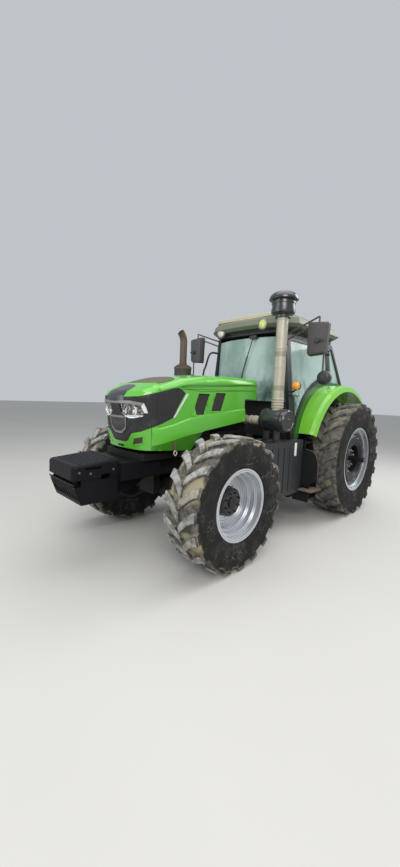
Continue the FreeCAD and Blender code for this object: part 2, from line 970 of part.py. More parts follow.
# Bonnet sections: share of its length, width lost on a side, drops of crease, shoulder and crown under the
# highest point, and the shoulder's inset.
BONNET_SECTIONS = (
    (0.0, 13, 100, 32, 0, 34),
    (0.33, 3, 108, 34, 6, 45),
    (0.60, 0, 125, 55, 32, 55),
    (0.80, 0, 165, 98, 76, 60),
    (1.0, 6, 240, 190, 167, 72),
)


def bonnet_skin(wall):
    """The bonnet's long body, lofted through its sections, smaller by a wall."""
    crown = d.bonnet_crown.value
    bottom = d.bonnet_bottom.value - (200 if wall else 0)
    start = (rear_x + d.bonnet_rear_place).value
    end = (front_x + d.bonnet_front_place).value
    sections = []
    for share, lost, crease, shoulder, top, inset in BONNET_SECTIONS:
        x = start + share * (end - start) + (share - 0.5) * 4 * wall
        wide = d.bonnet_half_width.value - lost - wall
        half = [
            (wide, bottom),
            (wide, crown - crease - wall / 2),
            ("via", wide - 0.4 * inset, crown - (crease + shoulder) / 2 - 0.9 * wall + 8),
            (wide - inset, crown - shoulder - wall),
        ]
        other = [("via", -p[1], p[2]) if p[0] == "via" else (-p[0], p[1]) for p in reversed(half)]
        points = half + [("via", 0, crown - top - wall)] + other
        sections.append(arc_wire(points, lambda p: Vector(x, p[0], p[1])))
    return shaped(Part.makeLoft(sections, True, True))


def side_vents():
    """Room for the two slanted vents on each side of the bonnet."""
    vents = []
    # rear bottom corner, forward of the front axle and over the arch's top, then length, slant and rise
    for start, over, length, slant, rise in ((-141, 195, 186, 92, 247), (-447, 238, 184, 76, 222)):
        x = front_x + start
        z = d.bonnet_arch_top + over
        corners = [(x, z), (x + length, z), (x + length - slant, z + rise), (x - slant, z + rise)]
        vents.append(prism_across(corners, d.bonnet_half_width - 60, d.bonnet_half_width + 60))
    return both(fuse(*vents))


def bonnet_shell():
    """Bonnet shell with a wheel arch, rear notches, side vents and its hinge lugs."""
    start = rear_x + d.bonnet_rear_place
    front = front_x + d.bonnet_front_place
    notch = rear_x + d.bonnet_notch_place
    below = d.bonnet_bottom - 300
    corners = [
        (start - 100, below),
        (front + 100, below),
        (front + 100, d.nose_bottom),
        (front, d.nose_bottom),
        (front_x + d.bonnet_arch_place, d.bonnet_bottom),
        (front_x + d.bonnet_arch_top_place, d.bonnet_arch_top),
        (notch, d.bonnet_notch_bottom),
        (notch, d.bonnet_notch_top),
        (start - 100, d.bonnet_notch_top),
    ]
    beneath = prism_across(corners, *both_sides(d.bonnet_half_width + 50))
    hinge_x = rear_x + d.bonnet_hinge_place
    hinge_z = d.bonnet_crown - d.bonnet_hinge_drop
    thick = (d.bonnet_hinge_y, d.bonnet_hinge_y + d.bonnet_lug_thickness)
    reach = 5 * d.bonnet_lug_radius
    top = d.bonnet_crown - d.bonnet_wall - 4
    hinge = fuse(
        rod(d.bonnet_lug_radius, d.bonnet_lug_thickness, hinge_x, thick[0], hinge_z, "Y"),
        box((hinge_x, hinge_x + reach), thick, (hinge_z, hinge_z + d.bonnet_lug_radius)),
        box((hinge_x + reach / 2, hinge_x + reach), thick, (hinge_z, top)),
    )
    shell = cut(bonnet_skin(0), bonnet_skin(d.bonnet_wall.value), beneath, side_vents())
    return fuse(shell, both(hinge))


# Nose levels: height over its bottom, place behind the tip, and width lost on a side.
NOSE_LEVELS = (
    (0, 100, 10),
    (80, 88, 6),
    (190, 66, 4),
    (350, 42, 2),
    (480, 8, 0),
    (560, 4, 2),
    (612, 52, 6),
    (650, 140, 14),
    (710, 270, 72),
)


def nose_level(z, front, wide, wall):
    """One level of the nose in plan: straight sides, round corners and a gently bowed front."""
    rear = (front_x + d.bonnet_front_place).value + 0.5
    depth = min(1.0, (front - rear) / 330) * 300
    back = rear - (40 if wall else 0)
    wide = wide - wall
    tip = front - wall
    points = [
        (back, wide),
        (tip - depth, wide),
        ("via", tip - 0.45 * depth, 0.84 * wide),
        (tip - 0.09 * depth, 0.46 * wide),
        ("via", tip, 0),
        (tip - 0.09 * depth, -0.46 * wide),
        ("via", tip - 0.45 * depth, -0.84 * wide),
        (tip - depth, -wide),
        (back, -wide),
    ]
    return arc_wire(points, lambda p: Vector(p[0], p[1], z) if p[0] != "via" else None)


def nose_solid(wall):
    tip = (front_x + d.nose_tip_place).value
    wires = []
    for rise, back, lost in NOSE_LEVELS:
        lift = -40 if wall and rise == 0 else 0
        drop = wall if rise == NOSE_LEVELS[-1][0] else 0
        z = d.nose_bottom.value + rise + lift - drop
        wires.append(nose_level(z, tip - back, d.bonnet_half_width.value - 6 - lost, wall))
    return shaped(Part.makeLoft(wires, True, True))


def face_room(half):
    """A tool through the nose from a front profile's left half."""
    return prism_along(across_front(half), front_x + d.bonnet_front_place + 30, front_x + d.nose_tip_place + 50)


def lamp_room(lap):
    """Room for the band of headlamps, larger by a lap except below."""
    low = d.nose_bottom + d.lamp_rise
    wide = d.lamp_half_width + lap
    return face_room([(wide, low), (wide, low + d.lamp_height + lap)])


def grille_room(lap):
    """Room for the grille's shield under the headlamps, larger by a lap except above."""
    top = d.nose_bottom + d.lamp_rise
    wide = d.grille_half_width + lap
    low = top - d.grille_height - lap
    return face_room([(0.4 * wide, low), (wide, top - d.grille_height / 2), (wide, top)])


def bonnet_nose():
    """Nose lofted through its levels, open underneath, behind, and at the grille and the headlamps."""
    shell = cut(nose_solid(0), nose_solid(d.bonnet_wall.value))
    return cut(shell, lamp_room(0), grille_room(0))


def nose_filler(room):
    """A slab that fills an opening of the nose from behind."""
    outer = (d.bonnet_wall + d.seat_gap).value
    return common(cut(nose_solid(outer), nose_solid(outer + d.grille_lap.value)), room)


def leaning(thing):
    """Stands a piece that was drawn flat, in X and height, in the cab's leaning left side."""
    return place(thing, rear_x, d.sill_y, d.sill_z, Vector(1, 0, 0), d.side_lean)


def on_side(x, out, height):
    """A point given in the leaning side's own frame: place, distance outwards, height."""
    up = cosine(d.side_lean)
    over = sine(d.side_lean)
    return rear_x + x, d.sill_y + up * out - over * height, d.sill_z + over * out + up * height


def arch_tool(radius):
    """A cylinder about the wheel arch's centre, through the left side."""
    inner = d.fender_inner_y - 140
    return rod(radius, 2 * inner, rear_x + d.arch_place, inner, d.arch_z, "Y")


def inset(points, border):
    """A four-cornered outline, from its rear bottom corner, drawn in by a border."""
    signs = ((1, 1), (-1, 1), (-1, -1), (1, -1))
    return [(x + border * sx, z + border * sz) for (x, z), (sx, sz) in zip(points, signs)]


def door_corners():
    return [
        (d.door_rear_place, d.door_bottom),
        (d.door_front_place, d.door_bottom),
        (d.door_front_place, d.door_top),
        (d.door_rear_place, d.door_top),
    ]


def quarter_corners():
    """Corners of the window behind the door, its rear edge along the sloping pillar."""
    top = d.side_height - d.quarter_border
    low = d.waist_height + 40
    front = d.quarter_front_place
    return [(front, low), (front, top), (d.cab_rear_place + 25, top), (d.cab_waist_rear_place + 85, low)]


def through_side(points):
    """A cutting tool through the leaning side or door."""
    thick = d.side_thickness
    return leaning(prism_across(points, -1 * thick - 20, 0.4 * thick))


def hinge_place():
    return d.door_rear_place - d.hinge_setback


def hinge_heights():
    return 0.61 * d.door_top, 0.915 * d.door_top


def leaning_block(x, y, z):
    """A block in the leaning side's own frame, from three (low, high) pairs."""
    corners = [(x[0], z[0]), (x[1], z[0]), (x[1], z[1]), (x[0], z[1])]
    return leaning(prism_across(corners, y[0], y[1]))


def leaning_barrel(x, height):
    """A hinge barrel in the leaning side's own frame."""
    barrel = new_body()
    circle = sketch_on(barrel, "XY_Plane", height)
    centre = Vector(number(x), d.hinge_offset.value, 0)
    circle.addGeometry(Part.Circle(centre, Vector(0, 0, 1), d.hinge_radius.value))
    for kind, size in (("DistanceX", x), ("DistanceY", d.hinge_offset)):
        row = circle.addConstraint(Sketcher.Constraint(kind, -1, 1, 0, 3, number(size)))
        circle.setExpression(f"Constraints[{row}]", formula(size))
    row = circle.addConstraint(Sketcher.Constraint("Radius", 0, d.hinge_radius.value))
    circle.setExpression(f"Constraints[{row}]", formula(d.hinge_radius))
    feature = barrel.newObject("PartDesign::Pad", "Barrel")
    feature.Profile = circle
    bind(feature, "Length", d.hinge_length)
    return leaning(barrel)


def cab_side():
    """Side of the cab: one ring with the pillars, the sill, the door opening and the quarter window."""
    thick = d.side_thickness
    corners = [
        (d.cab_waist_rear_place, -1 * d.side_drop),
        (d.cab_front_place, -1 * d.side_drop),
        (d.cab_front_place, d.side_height),
        (d.cab_rear_place, d.side_height),
        (d.cab_waist_rear_place, d.waist_height),
    ]
    ring = leaning(prism_across(corners, -1 * thick, 0 * thick))
    rail = arch_tool(d.arch_radius + d.arch_rail)
    doorway = cut(through_side(inset(door_corners(), -1 * d.panel_gap)), rail)
    side = cut(ring, doorway, through_side(quarter_corners()), arch_tool(d.arch_radius + d.seat_gap))
    lugs = []
    pin_x = hinge_place()
    ends = (pin_x - 4 * d.hinge_radius, pin_x + d.hinge_radius)
    deep = (-1 * d.hinge_radius, d.hinge_offset + d.hinge_radius)
    for height in hinge_heights():
        for low in (height - d.hinge_lug - d.running_gap, height + d.hinge_length + d.running_gap):
            lugs.append(leaning_block(ends, deep, (low, low + d.hinge_lug)))
    return fuse(side, *lugs)


def door():
    """Door frame that follows the wheel arch, with its window cut and two hinge leaves."""
    thick = d.door_thickness
    radius = d.arch_radius + d.arch_rail + d.panel_gap
    frame = leaning(prism_across(door_corners(), -1 * thick, 0 * thick))
    window = cut(through_side(inset(door_corners(), d.door_border)), arch_tool(radius + d.door_border))
    hinges = []
    pin_x = hinge_place()
    leaf_low = d.hinge_offset - d.hinge_radius
    end = pin_x + 6 * d.hinge_radius
    for height in hinge_heights():
        tall = (height, height + d.hinge_length)
        hinges.append(leaning_barrel(pin_x, height))
        hinges.append(leaning_block((pin_x, end), (leaf_low, d.hinge_offset), tall))
        hinges.append(leaning_block((d.door_rear_place + 4, end), (leaf_low - 8, leaf_low), tall))
    return fuse(cut(frame, arch_tool(radius), window), *hinges)


def pane(points, thickness):
    """Glass in the middle of a frame's thickness, in the leaning side."""
    centre = thickness / -2
    half = d.glass_thickness / 2
    return leaning(prism_across(points, centre - half, centre + half))


def door_glass():
    radius = d.arch_radius + d.arch_rail + d.panel_gap + d.door_border
    return cut(pane(inset(door_corners(), d.door_border), d.door_thickness), arch_tool(radius))


def side_y(z):
    """Outer Y of the leaning side at a height."""
    return d.sill_y - (z - d.sill_z) * (sine(d.side_lean) / cosine(d.side_lean))


def inside(z):
    """Inner Y of the leaning side at a height, a seat gap short of it."""
    return side_y(z) - d.side_thickness / cosine(d.side_lean) - d.seat_gap


def side_top():
    """Height of the cab side's top edge."""
    return d.sill_z + cosine(d.side_lean) * d.side_height


def waist():
    """Height of the cab side's rear corner, where the rear window's slope starts."""
    return d.sill_z + cosine(d.side_lean) * d.waist_height


def windscreen():
    """Bowed windscreen between the front pillars."""
    low = d.floor_z + d.cowl_height + d.screen_sill
    high = side_top() - d.header_height
    front = rear_x + d.screen_front_place + 50
    corners = [(-1 * inside(low), low), (inside(low), low), (inside(high), high), (-1 * inside(high), high)]
    blank = prism_along(corners, front - 300, front)
    centre = rear_x + d.screen_front_place - d.screen_radius
    outer = rod(d.screen_radius, d.side_height, centre, 0, low - 50)
    inner = rod(d.screen_radius - d.glass_thickness, d.side_height + 100, centre, 0, low - 100)
    return cut(common(blank, outer), inner)


def rear_pane(half):
    """Side profile of the rear window, this much to each side of the middle of its frame."""
    rear = rear_x + d.cab_waist_rear_place + d.side_thickness / 2
    rise = side_top() - waist()
    run = d.cab_rear_place - d.cab_waist_rear_place
    # the window keeps this share of the slope clear at each end
    share = 0.07
    low = waist() + share * rise
    high = side_top() - share * rise
    start = rear + share * run
    end = rear + (1 - share) * run
    return [(start - half, low), (start + half, low), (end + half, high), (end - half, high)]


def rear_frame():
    """Rear wall with its low window cut, and the sloping frame of the rear window."""
    rear = rear_x + d.cab_waist_rear_place
    top = rear_x + d.cab_rear_place
    thick = d.side_thickness
    side = d.fender_inner_y - d.seat_gap
    wall = box((rear, rear + thick), both_sides(side), (d.floor_z, waist()))
    tall = (d.floor_z + d.rear_window_low, waist() - 80)
    hole = box((rear - 20, rear + thick + 20), both_sides(side - d.rear_window_side), tall)
    high = inside(side_top())
    corners = [(rear, waist()), (rear + thick, waist()), (top + thick, side_top()), (top, side_top())]
    slope = prism_across(corners, *both_sides(high))
    window = prism_across(rear_pane(thick), *both_sides(high - d.rear_window_border))
    return fuse(cut(wall, hole), cut(slope, window))


def rear_glass():
    half = d.glass_thickness / 2
    slope = prism_across(rear_pane(half), *both_sides(inside(side_top()) - d.rear_window_border))
    centre = rear_x + d.cab_waist_rear_place + d.side_thickness / 2
    side = d.fender_inner_y - d.seat_gap - d.rear_window_side
    tall = (d.floor_z + d.rear_window_low, waist() - 80)
    return fuse(slope, box((centre - half, centre + half), both_sides(side), tall))


def roof_level(z, inset_by):
    """One level of the roof in plan: bowed front, straight sides and a short tail."""
    front = (rear_x + d.roof_front_place).value - 1.1 * inset_by
    corner = (rear_x + d.roof_corner_place).value - 0.6 * inset_by
    rear = (rear_x + d.roof_rear_place).value + 0.5 * inset_by
    wide = d.roof_half_width.value - inset_by
    bend = corner + 0.62 * (front - corner)
    points = [
        (rear, 0.82 * wide),
        (rear + 130, wide),
        (corner, wide),
        ("via", bend, 0.80 * wide),
        (front - 25, 0.5 * wide),
        ("via", front, 0),
        (front - 25, -0.5 * wide),
        ("via", bend, -0.80 * wide),
        (corner, -wide),
        (rear + 130, -wide),
        (rear, -0.82 * wide),
    ]
    return arc_wire(points, lambda p: Vector(p[0], p[1], z))


def roof():
    """Roof cap lofted through its eave, shoulder and crown, its front board, and the cab's header."""
    eave = side_top() + d.header_height
    band = eave + d.eave_height
    shoulder = band + d.shoulder_height
    crown = shoulder + d.crown_height
    levels = ((eave, 45), (band, 0), (shoulder, 25), (crown, d.roof_inset.value))
    cap = shaped(Part.makeLoft([roof_level(number(z), by) for z, by in levels], True, True))
    ends = (rear_x + d.cab_rear_place, rear_x + d.screen_front_place - 60)
    header = box(ends, both_sides(side_y(side_top()) - 20), (side_top(), eave + 10))
    start = rear_x + d.roof_board_place
    tall = (shoulder, crown + d.roof_board_height / 2)
    board = box((start, start + d.roof_board_depth), both_sides(d.roof_board_half_width), tall)
    return fuse(cap, header, board)


def seat():
    """Driver's seat on its pedestal."""
    x = rear_x + d.seat_place
    wide = d.seat_half_width
    long = d.seat_depth / 2
    top = d.floor_z + d.seat_height
    low = top - d.cushion_thickness
    pedestal = box((x - 0.5 * long, x + 0.6 * long), both_sides(0.64 * wide), (d.floor_z, low))
    cushion = box((x - long, x + long), both_sides(wide), (low, top))
    high = top + d.backrest_height
    neck = top + 0.8 * d.backrest_height
    thick = d.backrest_thickness
    corners = [
        (x - long, top - 60),
        (x - long + thick, top - 60),
        (x - long + 0.4 * thick, neck),
        (x - long, high),
        (x - long - 0.7 * thick, high),
        (x - long - 0.7 * thick, neck),
    ]
    return fuse(pedestal, cushion, prism_across(corners, *both_sides(0.96 * wide)))


def steering_column():
    """Instrument console, column and steering wheel."""
    foot = rear_x + d.column_place
    hub = rear_x + d.steering_ring_place
    wall = rear_x + d.floor_front_place - d.cowl_thickness
    top = d.floor_z + d.cowl_height
    hub_z = d.floor_z + d.steering_ring_height
    slope = [(wall, top), (foot + 20, top + 60), (foot - 90, top - 60)]
    corners = [(foot - 40, d.floor_z), (wall, d.floor_z)] + slope
    console = prism_across(corners, *both_sides(d.console_half_width))
    parts = [console, strut((foot, 0, top - 40), (hub, 0, hub_z), 28)]
    lean = math.degrees(math.atan2(number(foot - hub), number(hub_z - top + 40)))
    ring = doc.addObject("Part::Torus", "SteeringRing")
    bind(ring, "Radius1", d.steering_ring_radius)
    ring.Radius2 = 15
    parts.append(place(ring, hub, 0, hub_z, Vector(0, -1, 0), lean))
    radius = d.steering_ring_radius.value
    for turn in (90, 210, 330):
        along = radius * cosine(turn)
        end = (hub + along * cosine(lean), radius * sine(turn), hub_z + along * sine(lean))
        parts.append(strut((hub, 0, hub_z), end, 10))
    return fuse(*parts)


def cab():
    """Hollow cab: sides, doors, glass, floor, cowl, rear wall, roof, seat and steering column."""
    node("cab_sides", both(cab_side()))
    pair("door", door())
    pair("door_glass", door_glass())
    quarter = pane(quarter_corners(), d.side_thickness)
    node("cab_glass", fuse(both(quarter), windscreen(), rear_glass()))
    side = d.fender_inner_y - d.seat_gap
    wide = inside(d.floor_z)
    rear = rear_x + d.cab_waist_rear_place
    front = rear_x + d.floor_front_place
    step = rear_x + d.floor_step_place
    plan = across_plan([(rear, side), (step, side), (step, wide), (front, wide)])
    node("cab_floor", prism_up(plan, d.floor_z - d.floor_thickness, d.floor_z))
    top = d.floor_z + d.cowl_height
    corners = [(-1 * wide, d.floor_z), (wide, d.floor_z), (inside(top), top), (-1 * inside(top), top)]
    node("cab_cowl", prism_along(corners, front - d.cowl_thickness, front))
    node("cab_rear_frame", rear_frame())
    node("roof", roof())
    node("seat", seat())
    node("steering_column", steering_column())


def fender():
    """Rear mudguard: inner wall, rounded top and lip, turned about the wheel arch's centre."""
    outer = d.arch_radius
    wall = d.fender_wall
    inner_y = d.fender_inner_y
    edge = d.fender_outer_y
    shoulder = edge - d.fender_shoulder
    lip = outer - d.fender_lip
    root = outer - d.fender_depth
    points = [
        (root, inner_y),
        (outer, inner_y),
        (outer, shoulder),
        (outer - 20, edge - 20),
        (lip, edge),
        (lip, edge - wall),
        (outer - 20 - wall, edge - 20 - wall),
        (outer - wall, shoulder - wall),
        (outer - wall, inner_y + wall),
        (root, inner_y + wall),
    ]
    guard = turned(points, d.fender_sweep)
    turn = d.fender_front_angle + d.fender_sweep
    return place(guard, rear_x + d.arch_place, 0, d.arch_z, Vector(0, -1, 0), turn)


def side_tank():
    """Side tank with rounded upright edges and a toe cut back for the steered tyre."""
    rear = rear_x + d.tank_rear_place
    toe = front_x + d.tank_toe_place
    corners = [
        (rear, d.tank_bottom),
        (toe, d.tank_bottom),
        (toe, d.tank_bottom + d.tank_toe_height),
        (front_x + d.tank_front_place, d.tank_top),
        (rear, d.tank_top),
    ]
    block = prism_across(corners, d.tank_inner_y, d.tank_outer_y)
    middle_y = ((d.tank_inner_y + d.tank_outer_y) / 2).value
    return round_edges(
        block, d.tank_round, lambda e: runs_along(e, Vector(0, 0, 1)) and e.BoundBox.YMin > middle_y
    )


def air_cleaner():
    """Air cleaner across the tractor, its stack, the pre-cleaner on top and the pipe to the engine."""
    x = rear_x + d.canister_place
    inner = d.canister_inner_y
    outer = d.canister_outer_y
    radius = d.canister_radius
    rear_end = [(0, inner), (radius - 30, inner), (radius, inner + 25)]
    front_end = [(radius, outer - 40), (radius - 25, outer), (0, outer)]
    canister = turned(rear_end + front_end)
    place(canister, x, 0, d.canister_z)
    stack = rod(d.stack_radius, d.stack_height, x, d.stack_y, d.canister_z)
    low = d.canister_z + d.stack_height
    top = low + d.precleaner_height
    collar = d.stack_radius + 22
    bowl = d.precleaner_radius
    cap = d.precleaner_cap_radius
    points = [
        (0, low - 10),
        (collar, low - 10),
        (collar, low + 25),
        (bowl - 25, low + 40),
        (bowl, low + 75),
        (bowl, top - 120),
        (cap, top - 105),
        (cap, top - 55),
        (0.6 * cap, top),
        (0, top),
    ]
    head = upright(turned(points), x, d.stack_y)
    start = d.engine_half_width
    pipe_z = d.canister_z - d.canister_radius / 10
    pipe = rod(d.intake_radius, inner + 20 - start, x + d.intake_offset, start, pipe_z, "Y")
    return fuse(canister, stack, head, pipe)


def tail_bend(radius):
    """Ring section that bends forward from the top of the tailpipe."""
    bend = doc.addObject("Part::Torus", "Bend")
    bind(bend, "Radius1", d.tailpipe_bend_radius)
    bind(bend, "Radius2", radius)
    bind(bend, "Angle3", d.tailpipe_bend_angle)
    x = rear_x + d.muffler_place + d.tailpipe_bend_radius
    place(bend, x, -1 * d.muffler_y, d.muffler_bottom + d.muffler_height + d.tailpipe_height)
    turn = Rotation(Vector(0, 1, 0), 180) * Rotation(Vector(1, 0, 0), -90)
    bend.Placement = Placement(bend.Placement.Base, turn)
    return bend


def exhaust():
    """Silencer on the right of the bonnet, with its link to the engine and a tailpipe that bends forward."""
    x = rear_x + d.muffler_place
    y = -1 * d.muffler_y
    radius = d.muffler_radius
    low = d.muffler_bottom
    top = low + d.muffler_height
    pipe = d.tailpipe_radius
    foot = [(0, low), (radius - 45, low), (radius, low + 40)]
    can = turned(foot + [(radius, top - 30), (radius - 40, top), (0, top)])
    upright(can, x, y)
    straight = rod(pipe, d.tailpipe_height + 20, x, y, top - 20)
    link = rod(d.muffler_link_radius, d.muffler_y - d.engine_half_width, x, y, low + 50, "Y")
    return cut(fuse(can, straight, tail_bend(pipe), link), tail_bend(pipe - d.tailpipe_wall))


def mirrors():
    """Door mirrors on their arms, each with a round blind-spot mirror below."""
    x = rear_x + d.mirror_place
    arm = d.mirror_arm_radius
    inner = d.mirror_inner_y
    outer = inner + d.mirror_width
    low = d.mirror_bottom
    high = low + d.mirror_height
    corner_y = (inner + outer) / 2
    corner_z = high + d.mirror_arm_rise
    head = d.side_height - 3 * arm
    foot_x = (d.cab_front_place - 45, d.cab_front_place - 5)
    foot_z = (head - 2 * d.mirror_arm_gap, d.side_height - arm)
    parts = [leaning_block(foot_x, (0 * arm, d.mirror_foot), foot_z)]
    for drop in (0, d.mirror_arm_gap):
        start = on_side(d.cab_front_place - 25, 0.65 * d.mirror_foot, head - drop)
        parts.append(strut(start, (x, corner_y, corner_z - drop), arm))
    parts.append(strut((x, corner_y, corner_z), (x, corner_y, high - 20), arm))
    face = [(inner + 15, low), (outer - 25, low + 20), (outer, high - 25), (inner, high)]
    shell = prism_along(face, x - d.mirror_depth / 2, x + d.mirror_depth / 2)
    shell = round_edges(shell, 0.3 * d.mirror_depth, lambda e: e.BoundBox.XMax > x.value + 5)
    stem_y = outer - 50
    parts.append(strut((x, stem_y, low + 30), (x, stem_y, d.round_mirror_z), arm))
    rear = x - d.mirror_depth / 4
    disc = rod(d.round_mirror_radius, d.mirror_depth / 2, rear, stem_y + 30, d.round_mirror_z, "X")
    return both(fuse(shell, disc, *parts))


def steps():
    """Steps behind each side tank: two cheeks and four treads."""
    front = rear_x + d.tank_rear_place
    rear = front - d.step_depth
    outer = d.step_outer_y
    inner = outer - d.step_width
    low = d.step_bottom
    high = d.tank_top - 5
    cheek = [
        (inner + 60, low),
        (outer, low),
        (outer, low + 1.1 * d.step_rise),
        (outer - 110, high),
        (inner, high),
        (inner, low + 2 * d.step_rise),
    ]
    parts = [prism_along(cheek, x, x + d.step_cheek) for x in (rear, front - d.step_cheek)]
    for count in range(4):
        z = low + 20 + count * d.step_rise
        back = 0.16 * max(0, count - 1) * d.step_width
        parts.append(box((rear, front), (inner + 70, outer - 3 - back), (z, z + d.step_tread)))
    return both(fuse(*parts))


def drawbar():
    """Drawbar under the rear axle case, with its two hangers and the hitch pin's bore."""
    front = rear_x + d.drawbar_front_place
    rear = rear_x + d.drawbar_rear_place
    top = d.drawbar_z + d.drawbar_thickness
    bar = box((rear, front), both_sides(d.drawbar_width / 2), (d.drawbar_z, top))
    hangers = []
    for start in (rear_x + d.rear_case_rear_place, front - 1.4 * d.drawbar_width):
        ends = (start, start + 1.2 * d.drawbar_width)
        hangers.append(box(ends, both_sides(d.drawbar_width), (top, d.rear_case_bottom)))
    hole = rod(d.drawbar_bore, 200, rear + 40, 0, d.drawbar_z - 80)
    return cut(fuse(bar, *hangers), hole)


def lift_arms():
    """Rockshaft through the axle case with a lift arm at each end."""
    x = rear_x + d.rockshaft_place
    z = d.rockshaft_z
    inner = d.lift_arm_inner_y
    thick = d.lift_arm_thickness
    tip = x - d.lift_arm_length
    root = d.lift_arm_root - 12
    eye = d.lift_arm_eye - 4
    corners = [(x + 10, z - root), (x + 10, z + root), (tip, z + eye), (tip, z - eye)]
    arm = prism_across(corners, inner, inner + thick)
    boss = rod(d.lift_arm_root, thick, x, inner, z, "Y")
    end = rod(d.lift_arm_eye, thick, tip, inner, z, "Y")
    pin = rod(d.rod_pin_radius, d.rod_eye_thickness + 2 * d.rod_gap, tip, inner + thick - 2, z, "Y")
    shaft = rod(d.rockshaft_radius, 2 * inner + 20, x, -1 * inner - 10, z, "Y")
    return fuse(shaft, both(fuse(arm, boss, end, pin)))


def link_y(along):
    """Middle Y of the lower link, this far behind its pivot."""
    return d.lower_link_y + (d.link_end_y - d.lower_link_y) / d.lower_link_length * along


def lower_links():
    """Lower links, splayed out to the ball ends."""
    x = rear_x + d.lower_link_place
    z = d.lower_link_z
    tail = x - d.lower_link_length
    half = d.link_thickness / 2
    deep = d.link_depth / 2
    wide = d.link_end_width
    plan = [
        (x - 25, d.lower_link_y - half),
        (tail + 22, d.link_end_y - half),
        (tail + 22, d.link_end_y + half),
        (x - 25, d.lower_link_y + half),
    ]
    bar = prism_up(plan, z - deep, z + deep)
    front = rod(1.2 * deep, wide, x, d.lower_link_y - wide / 2, z, "Y")
    back = rod(d.link_end_radius, wide, tail, d.link_end_y - wide / 2, z, "Y")
    pin_y = link_y(d.lower_link_pin_place)
    reach = half + 3 * d.rod_gap + d.rod_eye_thickness
    pin = rod(d.rod_pin_radius, reach, x - d.lower_link_pin_place, pin_y, z, "Y")
    front_bore = rod(d.link_pin_radius + d.running_gap, 200, x, d.lower_link_y - 100, z, "Y")
    back_bore = rod(d.link_end_bore, 200, tail, d.link_end_y - 100, z, "Y")
    return both(cut(fuse(bar, front, back, pin), front_bore, back_bore))


def lift_rods():
    """Lift rods from the arms' tips down to the lower links, each with an eye at both ends."""
    top_x = rear_x + d.rockshaft_place - d.lift_arm_length
    low_x = rear_x + d.lower_link_place - d.lower_link_pin_place
    high = d.rockshaft_z
    low = d.lower_link_z
    thick = d.rod_eye_thickness
    upper_y = d.lift_arm_inner_y + d.lift_arm_thickness + d.rod_gap
    lower_y = link_y(d.lower_link_pin_place) + d.link_thickness / 2 + 2 * d.rod_gap
    upper = rod(d.lift_arm_eye - 2, thick, top_x, upper_y, high, "Y")
    lower = rod(d.lift_arm_eye, thick, low_x, lower_y, low, "Y")
    tongue_top = low + 2 * d.link_depth
    half = 1.2 * d.lift_rod_radius
    tongue = box((low_x - half, low_x + half), (lower_y, lower_y + thick), (low + 10, tongue_top))
    top_end = (top_x, upper_y + d.lift_rod_radius + 2, high - 15)
    bar = strut(top_end, (low_x, lower_y + thick / 2, tongue_top - 15), d.lift_rod_radius)
    upper_bore = rod(d.rod_pin_radius + d.running_gap, 200, top_x, upper_y - 100, high, "Y")
    lower_bore = rod(d.rod_eye_bore, 200, low_x, lower_y - 100, low, "Y")
    return both(cut(fuse(upper, lower, tongue, bar), upper_bore, lower_bore))


def bonnet_support():
    """Bracket on the engine that carries the bonnet's hinge."""
    x = rear_x + d.bonnet_hinge_place
    z = d.bonnet_crown - d.bonnet_hinge_drop
    outer = d.bonnet_hinge_y - d.running_gap
    rear = rear_x + d.engine_rear_place
    half = d.bonnet_lug_radius
    top = d.engine_top
    corners = [(x - half, z - 10), (x - half, z + half), (x + half, z + half), (rear + 90, top), (rear, top)]
    plate = prism_across(corners, outer - 25, outer)
    bar = box((rear, rear + 90), both_sides(outer), (top, top + 25))
    return fuse(both(plate), bar)


wheels()
engine()
cab()
pair("knuckle", knuckle())
for make in (
    front_axle,
    front_frame,
    weight_carrier,
    front_weight,
    gearbox,
    rear_axle_case,
    side_carrier,
    bonnet_shell,
    bonnet_nose,
    bonnet_support,
    air_cleaner,
    exhaust,
    mirrors,
    steps,
    drawbar,
    lift_arms,
    lower_links,
    lift_rods,
):
    node(make.__name__, make())
node("headlamps", nose_filler(lamp_room(d.grille_lap)))
node("grille", nose_filler(grille_room(d.grille_lap)))
node("fenders", both(fender()))
node("side_tanks", both(side_tank()))


def check(document):
    """Stops if an object has failed or a sub-part's shape is empty or wrong."""
    document.recompute()
    for thing in document.Objects:
        if {"Invalid", "Error"} & set(thing.State):
            raise RuntimeError(f"{thing.Name} ({thing.Label}) failed: {thing.State}")
    for label, thing in nodes.items():
        if thing.Shape.isNull() or not thing.Shape.isValid() or not thing.Shape.Solids:
            raise RuntimeError(f"{label} has no valid solid")


check(doc)
os.makedirs("parts", exist_ok=True)
for label, thing in nodes.items():
    thing.Shape.exportStep(f"parts/{label}.step")
print(len(nodes), "sub-parts written")
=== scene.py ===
"""Looks of the farm tractor: materials and fine pieces round the CAD frame, camera and light."""

import math
import random

import bmesh
import bpy
from mathutils import Matrix, Vector, geometry
from mathutils.bvhtree import BVHTree


